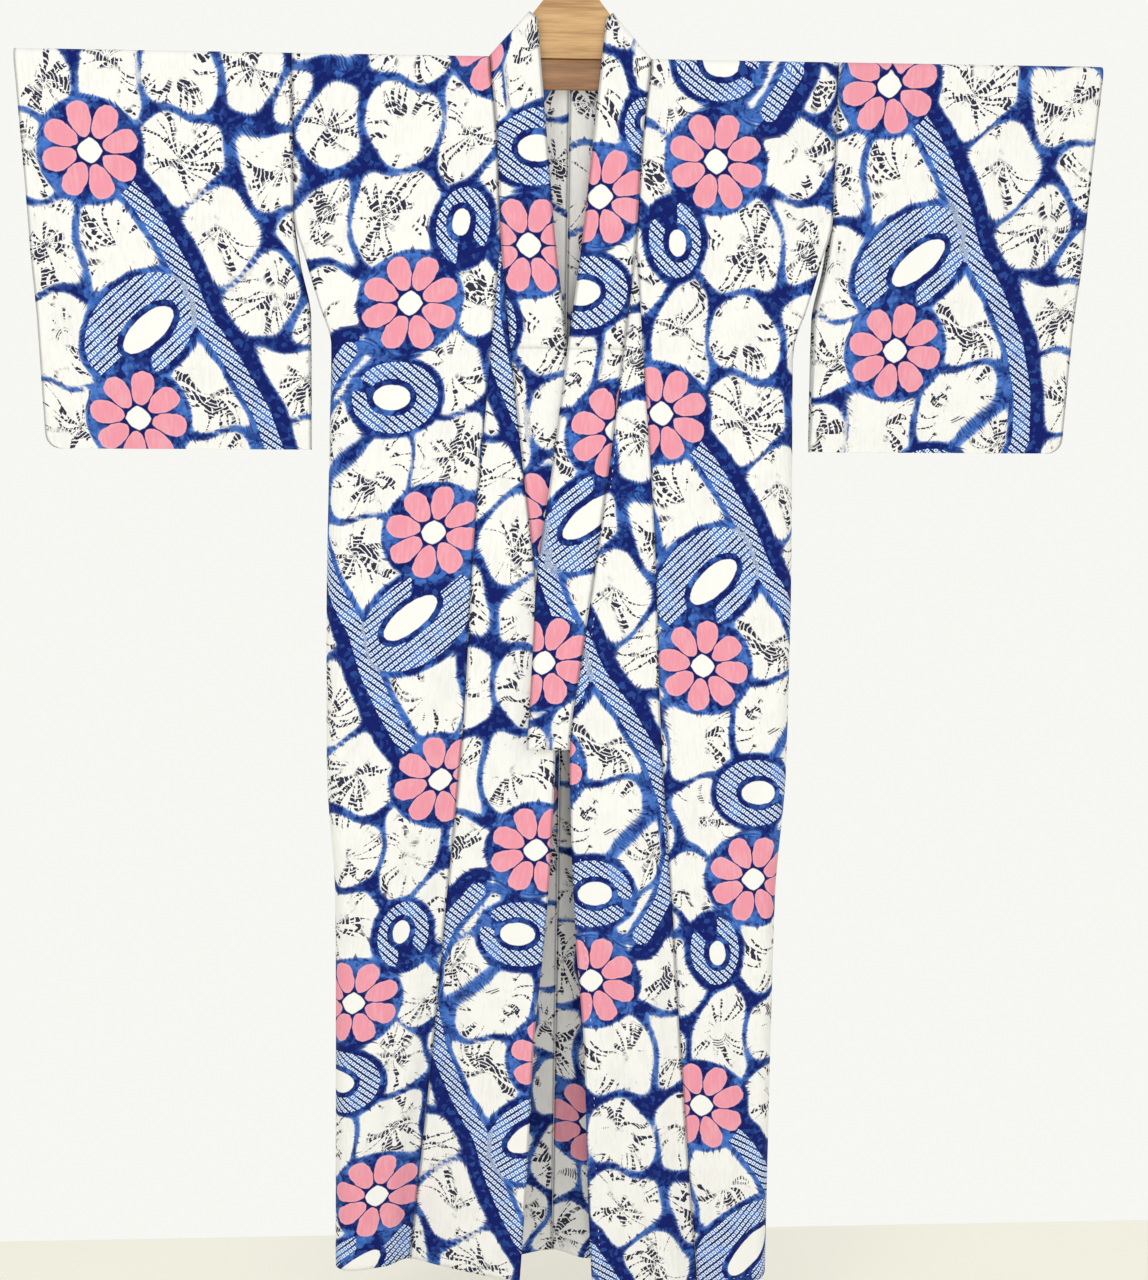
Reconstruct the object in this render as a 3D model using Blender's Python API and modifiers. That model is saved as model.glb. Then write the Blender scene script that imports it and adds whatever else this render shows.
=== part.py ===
"""Cotton yukata robe spread on a wooden hanger whose bar runs through both sleeves.

Metres, +Z up. The robe's front faces -Y and the wearer's left is +X. The origin is the
hanging point, under the top of the hook. A place on the cloth is given by three sizes:
across, outwards from the centre line; depth, backwards from the hanger's plane; and
drop, downwards from the shoulder fold.
"""

import math

import bpy

COLLECTION = "yukata_robe"

# Walls and gaps
WALL = 0.0016
COLLAR_WALL = 0.0020
OVER_COLLAR_WALL = 0.0012
SEAM_GAP = 0.0003
SEAM_MARGIN = 0.003

# Hanger
HANG_DROP = 0.165
BAR_LENGTH = 1.29
BAR_HEIGHT = 0.037
BAR_THICKNESS = 0.016
BAR_TOP_DROP = 0.0023
BAR_EDGE_RADIUS = 0.0045
BOARD_HALF_BASE = 0.0885
BOARD_TOP = 0.094
BOARD_SLOPE = 0.793
BOARD_EDGE_RADIUS = 0.0012
EDGE_SEGMENTS = 2
HOOK_RADIUS = 0.022
HOOK_START_ANGLE = -68.0
HOOK_END_ANGLE = 205.0
HOOK_STEPS = 16
WIRE_RADIUS = 0.002
WIRE_WELD = 0.00001
HOOK_FOOT_RADIUS = 0.0065
HOOK_FOOT_HEIGHT = 0.003
HOOK_FOOT_SIDES = 20

# across, distance under the centre of the hook's bend, up the wire's neck
HOOK_NECK = ((0.0000, 0.0380), (0.0008, 0.0330), (0.0035, 0.0275))

# Shoulder fold over the bar
FOLD_HALF_DEPTH = 0.013
FOLD_RISE = 0.013
FOLD_SQUARENESS = 3.0
FOLD_STEPS = 8
FOLD_DROP = WALL / 2 + FOLD_RISE

# Sleeves
SLEEVE_DROP = 0.483
SLEEVE_CORNER = 0.018
CUFF_OPENING = 0.23
CUFF_SEAM_RUN = 0.10
CUFF_SEAM_REACH = 0.08

# Body
BODY_LENGTH = 1.615
SIDE_SEAM_TOP = 0.37
SIDE_SEAM_START = 0.33
TIP_DROP = 0.235
COLLAR_END = 0.866
OVER_COLLAR_END = 0.352
OVERLAP_STEP = 0.006
OVERLAP_DROPS = (0.20, 0.33)
OVERLAP_REACH = (0.10, 0.20)
BACK_NECK_DROP = 0.022
ROBE_SHIFT = -0.0045
ROBE_SHIFT_REACH = 0.333
COLLAR_LEVEL_DROP = 0.10
NECK_EASE = 0.0008
NECK_EASE_DROP = 0.05

# How the hem's folds and its own length grow on the way down
HEM_FOLD_START = 0.35
HEM_FOLD_POWER = 1.6
HEM_LENGTH_DROPS = (0.9, 1.6)

# Where the collar turns over the board's slope: across, and height over the shoulder
SLOPE_ACROSS = 0.049
SLOPE_HEIGHT = 0.0515
SLOPE_NORMAL = (0.727, 0.686)
SLOPE_RISE = 0.010
COLLAR_BACK_HEIGHT = 0.046

LEFT, RIGHT = 1, -1
SIDES = {LEFT: "left", RIGHT: "right"}

# drop, half width at the armhole and then at the body's side
SIDE_LINE = (
    (0.000, 0.3330), (0.190, 0.3330), (0.250, 0.3185), (0.300, 0.3045), (0.350, 0.2900),
    (0.450, 0.2925), (0.700, 0.2990), (0.900, 0.3005), (1.080, 0.2915), (1.600, 0.2955),
)

# drop, half width at the edge of the front: the collar's seam, then the okumi's free edge
FRONT_EDGE = (
    (0.000, 0.0990), (0.100, 0.0890), (0.215, 0.0840), (0.340, 0.0720), (0.500, 0.0545),
    (0.630, 0.0385), (0.750, 0.0225), (0.866, 0.0090), (1.000, 0.0130), (1.120, 0.0200),
    (1.270, 0.0330), (1.470, 0.0410), (1.630, 0.0500),
)

# drop, half width at the seam between okumi and front
OKUMI_SEAM = (
    (0.220, 0.0840), (0.380, 0.0970), (0.600, 0.1150), (0.830, 0.1270), (1.100, 0.1500),
    (1.350, 0.1710), (1.630, 0.1985),
)

# drop, distance of the collar's free edge from the centre line, past it where negative
COLLAR_FREE_EDGE = (
    (-0.043, 0.0425), (0.000, 0.0385), (0.100, 0.0280), (0.210, 0.0175), (0.350, 0.0000),
    (0.500, -0.0175), (0.650, -0.0365), (0.750, -0.0405), (0.866, -0.0465),
)

# drop, depth of the cloth in front of and behind the hanger's plane
FRONT_DEPTH = ((0.00, 0.013), (0.25, 0.0133), (0.50, 0.018), (0.90, 0.024), (1.62, 0.030))
BACK_DEPTH = ((0.00, 0.013), (0.25, 0.0133), (0.50, 0.017), (0.90, 0.022), (1.62, 0.028))

# share of the front (0 edge, 1 okumi seam, 2 side), depth at the hem
HEM_FRONT = {
    LEFT: ((0.0, -0.052), (0.36, -0.043), (0.72, -0.054), (1.0, -0.041),
           (1.50, -0.052), (2.0, -0.034)),
    RIGHT: ((0.0, -0.050), (0.34, -0.032), (0.74, -0.010), (1.0, 0.004),
            (1.32, -0.024), (1.66, -0.029), (2.0, -0.021)),
}

# share of the front, length of the cloth from shoulder to hem
HEM_DROP = {
    LEFT: ((0.0, 1.625), (1.2, 1.625), (2.0, 1.616)),
    RIGHT: ((0.0, 1.612), (0.6, 1.606), (1.0, 1.601), (1.3, 1.597), (2.0, 1.604)),
}
BACK_HEM_DROP = 1.614

# share of the back's width from the wearer's right side to the left, depth at the hem
HEM_BACK = (
    (-1.00, 0.034), (-0.74, 0.042), (-0.47, 0.031), (-0.22, 0.028), (0.00, 0.046),
    (0.16, 0.019), (0.36, 0.030), (0.58, 0.042), (0.78, 0.032), (1.00, 0.036),
)

# drop, how far round the side the side seam lies, behind the body's outermost line
SEAM_WRAP = ((0.37, 0.0), (0.80, 0.020), (1.20, 0.046), (1.615, 0.072))

# drop, half width of the sleeve at its inner edge and at its cuff
SLEEVE_INNER = ((0.000, 0.3330), (0.190, 0.3332), (0.250, 0.3270), (0.320, 0.3145), (0.483, 0.3150))
SLEEVE_CUFF = ((0.000, 0.6640), (0.170, 0.6550), (0.300, 0.6500), (0.483, 0.6440))

# drop, half the sleeve's hollow
SLEEVE_DEPTH = ((0.00, 0.013), (0.25, 0.0133), (0.36, 0.0115), (0.44, 0.0065), (0.483, 0.00105))
SLEEVE_CLOSED = 0.00105
SLEEVE_WAVE = 0.0025
SLEEVE_WAVE_COUNT = 3.0
SLEEVE_WAVE_DROPS = (0.10, 0.36)

# Rows that body, okumi and collar share, so that their seams have the same corners
CLOTH_DROPS = (
    1.615, 1.585, 1.53, 1.45, 1.36, 1.27, 1.18, 1.09, 1.00, 0.93, COLLAR_END, 0.81, 0.74,
    0.67, 0.60, 0.53, 0.47, 0.42, 0.385, OVER_COLLAR_END, 0.32, 0.28, 0.25, TIP_DROP, 0.225,
    0.19, 0.14, COLLAR_LEVEL_DROP,
)
SLEEVE_DROPS = (
    SLEEVE_DROP, 0.480, 0.475, 0.465, 0.445, 0.41, 0.36, 0.31, 0.27, 0.24, 0.215, 0.18, 0.13,
    0.08, FOLD_DROP,
)
FLAT_COLUMNS = 8
RIM_COLUMNS = 7
RIM_HALF_WIDTH = 0.022
RIM_LENGTH = 0.036
RIM_OVERLAP = 0.02
OKUMI_COLUMNS = 7
COLLAR_COLUMNS = 5
SLEEVE_COLUMNS = 10
NECK_ROWS = 4

COTTON = {"color": (0.60, 0.66, 0.80, 1.0), "roughness": 0.9, "metallic": 0.0}
COTTON_COLLAR = {"color": (0.42, 0.50, 0.74, 1.0), "roughness": 0.9, "metallic": 0.0}
WOOD = {"color": (0.55, 0.34, 0.15, 1.0), "roughness": 0.6, "metallic": 0.0}
STEEL = {"color": (0.62, 0.62, 0.63, 1.0), "roughness": 0.3, "metallic": 1.0}


def clear_scene():
    """Remove every object that the file starts with."""
    for thing in list(bpy.data.objects):
        bpy.data.objects.remove(thing, do_unlink=True)


def make_collection(name):
    """Return a new collection linked to the scene."""
    collection = bpy.data.collections.new(name)
    bpy.context.scene.collection.children.link(collection)
    return collection


def make_material(name, look):
    """Return a Principled material of one plain finish."""
    material = bpy.data.materials.new(name)
    material.use_nodes = True
    shader = material.node_tree.nodes["Principled BSDF"]
    shader.inputs["Base Color"].default_value = look["color"]
    shader.inputs["Roughness"].default_value = look["roughness"]
    shader.inputs["Metallic"].default_value = look["metallic"]
    material.diffuse_color = look["color"]
    return material


def clamp(value, low=0.0, high=1.0):
    """Keep a value between two limits."""
    return max(low, min(high, value))


def mix(start, end, share):
    """Blend two numbers."""
    return start + (end - start) * share


def ramp(value, start, end):
    """Rise smoothly from 0 at start to 1 at end."""
    share = clamp((value - start) / (end - start))
    return share * share * (3.0 - 2.0 * share)


def table_slopes(table):
    """Slope at each row of a table, level where the values turn and at both ends."""
    runs = []
    for (start, low), (end, high) in zip(table, table[1:]):
        runs.append((high - low) / (end - start))
    slopes = [runs[0]]
    for before, after in zip(runs, runs[1:]):
        turns = before * after <= 0.0
        slopes.append(0.0 if turns else 2.0 * before * after / (before + after))
    slopes.append(runs[-1])
    return slopes


def read(table, at):
    """Read a two-column table along a smooth line through its rows."""
    if at <= table[0][0]:
        return table[0][1]
    if at >= table[-1][0]:
        return table[-1][1]
    slopes = table_slopes(table)
    for row in range(len(table) - 1):
        start, low = table[row]
        end, high = table[row + 1]
        if at <= end:
            step = end - start
            share = (at - start) / step
            rest = 1.0 - share
            ends = low * rest * rest * (1.0 + 2.0 * share) + high * share * share * (3.0 - 2.0 * share)
            bends = slopes[row] * share * rest * rest - slopes[row + 1] * share * share * rest
            return ends + bends * step
    return table[-1][1]


def spread(start, end, count, margin=SEAM_MARGIN):
    """Even places between two ends, with a narrow first and last step along the seams."""
    length = end - start
    edge = math.copysign(min(margin, abs(length) / count), length)
    inner = [mix(start + edge, end - edge, step / (count - 3)) for step in range(count - 2)]
    return [start] + inner + [end]


def place(side, across, depth, drop):
    """World point of a place on the cloth, which hangs a little to the wearer's right."""
    shift = ROBE_SHIFT * clamp(abs(across) / ROBE_SHIFT_REACH) ** 2
    return (side * across + shift, depth, -HANG_DROP - drop)


def fold_growth(drop):
    """How far the hem's folds have grown at this drop, from 0 to 1."""
    return clamp((drop - HEM_FOLD_START) / (BODY_LENGTH - HEM_FOLD_START)) ** HEM_FOLD_POWER


def front_share(across, drop):
    """Share of the front's width: 0 at its edge, 1 at the okumi seam, 2 at the side."""
    edge = read(FRONT_EDGE, drop)
    seam = max(read(OKUMI_SEAM, drop), edge + SEAM_MARGIN)
    if across < seam:
        return clamp((across - edge) / (seam - edge))
    return 1.0 + clamp((across - seam) / (read(SIDE_LINE, drop) - seam))


def front_depth(side, across, drop):
    """Depth of the front at a place; the wearer's left front lies over the right one."""
    flat = -read(FRONT_DEPTH, drop)
    hem = read(HEM_FRONT[side], front_share(across, drop))
    depth = mix(flat, hem, fold_growth(drop))
    if side == LEFT:
        depth -= OVERLAP_STEP * ramp(drop, *OVERLAP_DROPS) * (1.0 - ramp(across, *OVERLAP_REACH))
    return depth


def back_depth(side, across, drop):
    """Depth of the back at a place."""
    share = side * across / read(SIDE_LINE, drop)
    return mix(read(BACK_DEPTH, drop), read(HEM_BACK, share), fold_growth(drop))


def front_drop(side, across, drop):
    """Drop of a place on the front, eased to the hem's own length."""
    longer = read(HEM_DROP[side], front_share(across, drop)) - BODY_LENGTH
    return drop + longer * ramp(drop, *HEM_LENGTH_DROPS)


def back_drop(drop):
    """Drop of a place on the back, eased to the hem's own length."""
    return drop + (BACK_HEM_DROP - BODY_LENGTH) * ramp(drop, *HEM_LENGTH_DROPS)


def front_point(side, across, drop):
    """World point on the front of the robe."""
    return place(side, across, front_depth(side, across, drop), front_drop(side, across, drop))


def back_point(side, across, drop):
    """World point on the back of the robe."""
    return place(side, across, back_depth(side, across, drop), back_drop(drop))


def rim_point(side, way, drop):
    """World point on the rounded side; way runs from the front (-) round to the back (+)."""
    start = read(SIDE_LINE, drop) - RIM_HALF_WIDTH
    front = front_depth(side, start, drop)
    back = back_depth(side, start, drop)
    if way > RIM_LENGTH:
        return back_point(side, start - (way - RIM_LENGTH), drop)
    angle = math.pi / 2 * way / RIM_LENGTH
    across = start + RIM_HALF_WIDTH * math.cos(angle)
    depth = (front + back) / 2 + (back - front) / 2 * math.sin(angle)
    side_drop = mix(front_drop(side, start, drop), back_drop(drop), (1.0 + math.sin(angle)) / 2)
    return place(side, across, depth, side_drop)


def blend_points(first, second, share):
    """Blend two world points."""
    return tuple(mix(a, b, share) for a, b in zip(first, second))


def shoulder_profile(turn):
    """Depth and rise of the cloth over the bar; turn runs from 0 in front to 1 behind."""
    angle = math.pi * turn
    power = 2.0 / FOLD_SQUARENESS
    depth = -math.copysign(abs(math.cos(angle)) ** power, math.cos(angle))
    return depth, abs(math.sin(angle)) ** power


def level_rows(shares):
    """Drops from the collar's last level row up to the shoulder fold."""
    return [mix(COLLAR_LEVEL_DROP, FOLD_DROP, step / shares) for step in range(1, shares + 1)]


def front_inner(drop):
    """Inner edge of the front panel: along the collar, then along the okumi."""
    if drop < TIP_DROP:
        ease = SEAM_GAP / 2 + NECK_EASE * (1.0 - ramp(drop, 0.0, NECK_EASE_DROP))
        return read(FRONT_EDGE, drop) + ease
    return read(OKUMI_SEAM, drop) + SEAM_GAP / 2


def front_row(side, drop):
    """One row of the front panel, from its inner edge to the armhole or the side seam."""
    outer = read(SIDE_LINE, drop) - SEAM_GAP / 2
    closed = ramp(drop, SIDE_SEAM_START, SIDE_SEAM_TOP)
    inner = front_inner(drop)
    columns = FLAT_COLUMNS + RIM_COLUMNS
    straight = [front_point(side, x, drop) for x in spread(inner, outer, columns)]
    if closed == 0.0:
        return straight
    flat_end = read(SIDE_LINE, drop) - RIM_HALF_WIDTH
    seam = read(SEAM_WRAP, drop) - SEAM_GAP / 2
    flat = [inner, inner + SEAM_MARGIN]
    for step in range(1, FLAT_COLUMNS - 1):
        flat.append(mix(inner + SEAM_MARGIN, flat_end, step / (FLAT_COLUMNS - 2)))
    rounded = [front_point(side, x, drop) for x in flat]
    for step in range(1, RIM_COLUMNS + 1):
        rounded.append(rim_point(side, mix(-RIM_LENGTH, seam, step / RIM_COLUMNS), drop))
    return [blend_points(a, b, closed) for a, b in zip(straight, rounded)]


def back_row(side, drop):
    """One row of the back, from the centre seam to the armhole or the side seam."""
    outer = read(SIDE_LINE, drop) - SEAM_GAP / 2
    closed = ramp(drop, SIDE_SEAM_START, SIDE_SEAM_TOP)
    columns = FLAT_COLUMNS + RIM_COLUMNS
    straight = [back_point(side, x, drop) for x in spread(SEAM_GAP / 2, outer, columns)]
    if closed == 0.0:
        return straight
    seam = read(SEAM_WRAP, drop) + SEAM_GAP / 2
    rim_start = max(RIM_LENGTH, seam) + RIM_OVERLAP
    flat_end = read(SIDE_LINE, drop) - RIM_HALF_WIDTH - (rim_start - RIM_LENGTH)
    flat = [SEAM_GAP / 2, SEAM_MARGIN]
    for step in range(1, FLAT_COLUMNS - 1):
        flat.append(mix(SEAM_MARGIN, flat_end, step / (FLAT_COLUMNS - 2)))
    rounded = [back_point(side, x, drop) for x in flat]
    for step in range(1, RIM_COLUMNS + 1):
        rounded.append(rim_point(side, mix(rim_start, seam, step / RIM_COLUMNS), drop))
    return [blend_points(a, b, closed) for a, b in zip(straight, rounded)]


def body_rows(side):
    """Rows of one body panel: up the front, over the bar and down the back."""
    drops = list(CLOTH_DROPS) + level_rows(NECK_ROWS)
    rows = [front_row(side, drop) for drop in drops]
    inner = front_inner(FOLD_DROP)
    outer = read(SIDE_LINE, FOLD_DROP) - SEAM_GAP / 2
    columns = spread(inner, outer, FLAT_COLUMNS + RIM_COLUMNS)
    for step in range(1, FOLD_STEPS):
        depth, rise = shoulder_profile(step / FOLD_STEPS)
        drop = FOLD_DROP - FOLD_RISE * rise
        rows.append([place(side, x, FOLD_HALF_DEPTH * depth, drop) for x in columns])
    for step in range(NECK_ROWS + 1):
        share = step / NECK_ROWS
        drop = mix(FOLD_DROP, BACK_NECK_DROP + SEAM_GAP / 2, share)
        neck = spread(mix(inner, SEAM_GAP / 2, share), outer, FLAT_COLUMNS + RIM_COLUMNS)
        rows.append([back_point(side, x, drop) for x in neck])
    rows += [back_row(side, drop) for drop in reversed(drops) if drop > 2 * BACK_NECK_DROP]
    return rows


def okumi_rows(side):
    """Rows of the okumi, from the hem up to its point, between collar or edge and front."""
    rows = []
    for drop in CLOTH_DROPS:
        if drop < TIP_DROP:
            break
        inner = read(FRONT_EDGE, drop) + SEAM_GAP / 2
        outer = read(OKUMI_SEAM, drop) - SEAM_GAP / 2
        rows.append([front_point(side, x, drop) for x in spread(inner, outer, OKUMI_COLUMNS)])
    return rows


def line_between(first, second, count):
    """Even points from one world point to another."""
    return [blend_points(first, second, step / (count - 1)) for step in range(count)]


def collar_front_row(side, drop):
    """A level row of the collar, from its seam to its free edge."""
    seam = read(FRONT_EDGE, drop) - SEAM_GAP / 2
    free = read(COLLAR_FREE_EDGE, drop)
    columns = [mix(seam, free, step / (COLLAR_COLUMNS - 1)) for step in range(COLLAR_COLUMNS)]
    return [front_point(side, x, drop) for x in columns]


def collar_neck_rows(side):
    """Rows of the collar from the front, over the board's slope, to the back's centre."""
    seam_across = read(FRONT_EDGE, FOLD_DROP) - SEAM_GAP / 2 - NECK_EASE
    free_across = SLOPE_ACROSS - SLOPE_NORMAL[0] * SLOPE_RISE
    free_drop = -SLOPE_HEIGHT + SLOPE_NORMAL[1] * SLOPE_RISE
    rows = []
    for step, seam_drop in enumerate(level_rows(NECK_ROWS), start=1):
        share = step / NECK_ROWS
        edge_drop = mix(COLLAR_LEVEL_DROP, free_drop, share)
        seam = min(read(FRONT_EDGE, seam_drop) - SEAM_GAP / 2, seam_across)
        edge = mix(read(COLLAR_FREE_EDGE, COLLAR_LEVEL_DROP), free_across, share)
        depth = -FOLD_HALF_DEPTH
        rows.append(line_between(place(side, seam, depth, seam_drop),
                                 place(side, edge, depth, edge_drop), COLLAR_COLUMNS))
    for step in range(1, FOLD_STEPS + 1):
        depth, rise = shoulder_profile(step / FOLD_STEPS)
        depth *= FOLD_HALF_DEPTH
        edge = free_across + SLOPE_NORMAL[0] * SLOPE_RISE * rise
        edge_drop = free_drop - SLOPE_NORMAL[1] * SLOPE_RISE * rise
        rows.append(line_between(place(side, seam_across, depth, FOLD_DROP - FOLD_RISE * rise),
                                 place(side, edge, depth, edge_drop), COLLAR_COLUMNS))
    for step in range(1, NECK_ROWS + 1):
        share = step / NECK_ROWS
        seam_drop = mix(FOLD_DROP, BACK_NECK_DROP, share) - SEAM_GAP / 2
        edge_drop = mix(free_drop, -COLLAR_BACK_HEIGHT, share)
        rest = 1.0 - share
        rows.append(line_between(place(side, seam_across * rest, FOLD_HALF_DEPTH, seam_drop),
                                 place(side, free_across * rest, FOLD_HALF_DEPTH, edge_drop),
                                 COLLAR_COLUMNS))
    return rows


def collar_rows(end_drop):
    """Rows of the whole collar, from one front end round the neck to the other."""
    half = {}
    for side in SIDES:
        level = [collar_front_row(side, drop) for drop in CLOTH_DROPS if drop <= end_drop]
        half[side] = level + collar_neck_rows(side)
    return half[RIGHT] + half[LEFT][-2::-1]


def sleeve_half_depth(across, drop):
    """Half the sleeve's hollow at a place, shut along the lower part of the cuff."""
    cuff = read(SLEEVE_CUFF, drop)
    inner = read(SLEEVE_INNER, drop)
    share = clamp((across - inner) / (cuff - inner))
    wave = SLEEVE_WAVE * math.sin(SLEEVE_WAVE_COUNT * math.pi * share)
    wave *= ramp(drop, *SLEEVE_WAVE_DROPS)
    hollow = read(SLEEVE_DEPTH, drop)
    hollow += wave * math.sin(math.pi * share) * hollow / FOLD_HALF_DEPTH
    shut = ramp(drop, CUFF_OPENING, CUFF_OPENING + CUFF_SEAM_RUN)
    shut *= 1.0 - ramp(cuff - across, 0.0, CUFF_SEAM_REACH)
    return mix(hollow, SLEEVE_CLOSED, shut)


def sleeve_columns(drop):
    """Places across the sleeve, from the armhole to the cuff with its rounded corner."""
    inner = read(SLEEVE_INNER, drop) + SEAM_GAP / 2
    outer = read(SLEEVE_CUFF, drop)
    past = clamp((drop - SLEEVE_DROP + SLEEVE_CORNER) / SLEEVE_CORNER)
    outer -= SLEEVE_CORNER * (1.0 - math.sqrt(1.0 - past * past))
    return spread(inner, outer, SLEEVE_COLUMNS)


def sleeve_rows(side):
    """Rows of one sleeve: up its front, over the bar and down its back."""
    front, back = [], []
    for drop in SLEEVE_DROPS:
        columns = sleeve_columns(drop)
        front.append([place(side, x, -sleeve_half_depth(x, drop), drop) for x in columns])
        back.append([place(side, x, sleeve_half_depth(x, drop), drop) for x in columns])
    top = []
    columns = sleeve_columns(FOLD_DROP)
    for step in range(1, FOLD_STEPS):
        depth, rise = shoulder_profile(step / FOLD_STEPS)
        drop = FOLD_DROP - FOLD_RISE * rise
        top.append([place(side, x, FOLD_HALF_DEPTH * depth, drop) for x in columns])
    return front + top + back[::-1]


def make_sheet(name, rows, collection, material):
    """Return an open surface through rows of points."""
    columns = len(rows[0])
    points = [point for row in rows for point in row]
    faces = []
    for row in range(len(rows) - 1):
        for column in range(columns - 1):
            corner = row * columns + column
            faces.append((corner, corner + 1, corner + columns + 1, corner + columns))
    mesh = bpy.data.meshes.new(name)
    mesh.from_pydata(points, [], faces)
    mesh.materials.append(material)
    mesh.shade_smooth()
    sheet = bpy.data.objects.new(name, mesh)
    collection.objects.link(sheet)
    return sheet


def thicken(sheet, wall, lift=0.0):
    """Give a surface its wall, moved out along its normals where it lies on another."""
    if lift:
        move = sheet.modifiers.new("lift", "DISPLACE")
        move.mid_level = 0.0
        move.strength = lift
    solid = sheet.modifiers.new("wall", "SOLIDIFY")
    solid.thickness = wall
    solid.offset = 0.0


def make_robe(collection):
    """Make every cut piece of the robe."""
    cotton = make_material("cotton_print", COTTON)
    collar_cotton = make_material("cotton_collar", COTTON_COLLAR)
    for side, label in SIDES.items():
        thicken(make_sheet(f"body_panel_{label}", body_rows(side), collection, cotton), WALL)
        thicken(make_sheet(f"okumi_{label}", okumi_rows(side), collection, cotton), WALL)
        thicken(make_sheet(f"sleeve_{label}", sleeve_rows(side), collection, cotton), WALL)
    collar = make_sheet("collar", collar_rows(COLLAR_END), collection, collar_cotton)
    thicken(collar, COLLAR_WALL)
    over = make_sheet("over_collar", collar_rows(OVER_COLLAR_END), collection, collar_cotton)
    thicken(over, OVER_COLLAR_WALL, COLLAR_WALL / 2 + SEAM_GAP + OVER_COLLAR_WALL / 2)


def make_bar(collection, material):
    """Make the flat wooden bar that runs through both sleeves."""
    bpy.ops.mesh.primitive_cube_add(size=1.0)
    bar = bpy.context.object
    middle = -HANG_DROP - BAR_TOP_DROP - BAR_HEIGHT / 2
    for corner in bar.data.vertices:
        corner.co.x *= BAR_LENGTH
        corner.co.y *= BAR_THICKNESS
        corner.co.z = corner.co.z * BAR_HEIGHT + middle
    finish_wood(bar, "hanger_bar", BAR_EDGE_RADIUS, collection, material)


def make_board(collection, material):
    """Make the gable-shaped board that stands on the bar and spreads the collar."""
    base = -HANG_DROP - BAR_TOP_DROP + SEAM_GAP
    top = -HANG_DROP + BOARD_TOP
    half_top = BOARD_HALF_BASE - (top - base) * BOARD_SLOPE
    outline = ((-BOARD_HALF_BASE, base), (BOARD_HALF_BASE, base), (half_top, top), (-half_top, top))
    half = BAR_THICKNESS / 2
    points = [(x, -half, z) for x, z in outline] + [(x, half, z) for x, z in outline]
    faces = [(0, 1, 2, 3), (7, 6, 5, 4)]
    for corner in range(4):
        after = (corner + 1) % 4
        faces.append((corner, corner + 4, after + 4, after))
    mesh = bpy.data.meshes.new("hanger_board")
    mesh.from_pydata(points, [], faces)
    board = bpy.data.objects.new("hanger_board", mesh)
    bpy.context.scene.collection.objects.link(board)
    finish_wood(board, "hanger_board", BOARD_EDGE_RADIUS, collection, material)


def finish_wood(wood, name, edge_radius, collection, material):
    """Name a wooden piece, round its edges and move it into the robe's collection."""
    wood.name = name
    wood.data.name = name
    wood.data.materials.append(material)
    edges = wood.modifiers.new("edges", "BEVEL")
    edges.width = edge_radius
    edges.segments = EDGE_SEGMENTS
    for old in list(wood.users_collection):
        old.objects.unlink(wood)
    collection.objects.link(wood)


def hook_path():
    """Centre line of the hook's wire, from its foot round to its open end."""
    foot = -HANG_DROP + BOARD_TOP + SEAM_GAP + HOOK_FOOT_HEIGHT / 2
    centre = WIRE_RADIUS - HOOK_RADIUS
    path = [(0.0, foot)] + [(x, centre - under) for x, under in HOOK_NECK]
    for step in range(HOOK_STEPS + 1):
        angle = math.radians(mix(HOOK_START_ANGLE, HOOK_END_ANGLE, step / HOOK_STEPS))
        path.append((HOOK_RADIUS * math.cos(angle), centre + HOOK_RADIUS * math.sin(angle)))
    return path


def make_hook(collection, material):
    """Make the steel hook: a bent wire standing on a small round foot."""
    curve = bpy.data.curves.new("hook_wire", "CURVE")
    curve.dimensions = "3D"
    curve.bevel_depth = WIRE_RADIUS
    curve.bevel_resolution = 2
    curve.use_fill_caps = True
    path = hook_path()
    spline = curve.splines.new("POLY")
    spline.points.add(len(path) - 1)
    for point, (x, z) in zip(spline.points, path):
        point.co = (x, 0.0, z, 1.0)
    wire = bpy.data.objects.new("hook_wire", curve)
    bpy.context.scene.collection.objects.link(wire)
    bpy.context.view_layer.update()
    evaluated = wire.evaluated_get(bpy.context.evaluated_depsgraph_get())
    mesh = bpy.data.meshes.new_from_object(evaluated)
    bpy.data.objects.remove(wire, do_unlink=True)
    hook = bpy.data.objects.new("hanger_hook", mesh)
    mesh.name = "hanger_hook"
    mesh.materials.clear()
    mesh.materials.append(material)
    collection.objects.link(hook)
    weld = hook.modifiers.new("weld", "WELD")
    weld.merge_threshold = WIRE_WELD

    bpy.ops.mesh.primitive_cylinder_add(
        vertices=HOOK_FOOT_SIDES, radius=HOOK_FOOT_RADIUS, depth=HOOK_FOOT_HEIGHT)
    foot = bpy.context.object
    foot.name = "hook_foot_guide"
    foot.location.z = -HANG_DROP + BOARD_TOP + SEAM_GAP + HOOK_FOOT_HEIGHT / 2
    foot.hide_render = True
    foot.display_type = "WIRE"
    joined = hook.modifiers.new("foot", "BOOLEAN")
    joined.operation = "UNION"
    joined.object = foot
    guides = make_collection("guides")
    for old in list(foot.users_collection):
        old.objects.unlink(foot)
    guides.objects.link(foot)


def make_hanger(collection):
    """Make the wooden hanger and its hook."""
    wood = make_material("wood", WOOD)
    make_bar(collection, wood)
    make_board(collection, wood)
    make_hook(collection, make_material("steel", STEEL))


def main():
    """Build the robe on its hanger."""
    clear_scene()
    collection = make_collection(COLLECTION)
    make_hanger(collection)
    make_robe(collection)


main()
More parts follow.
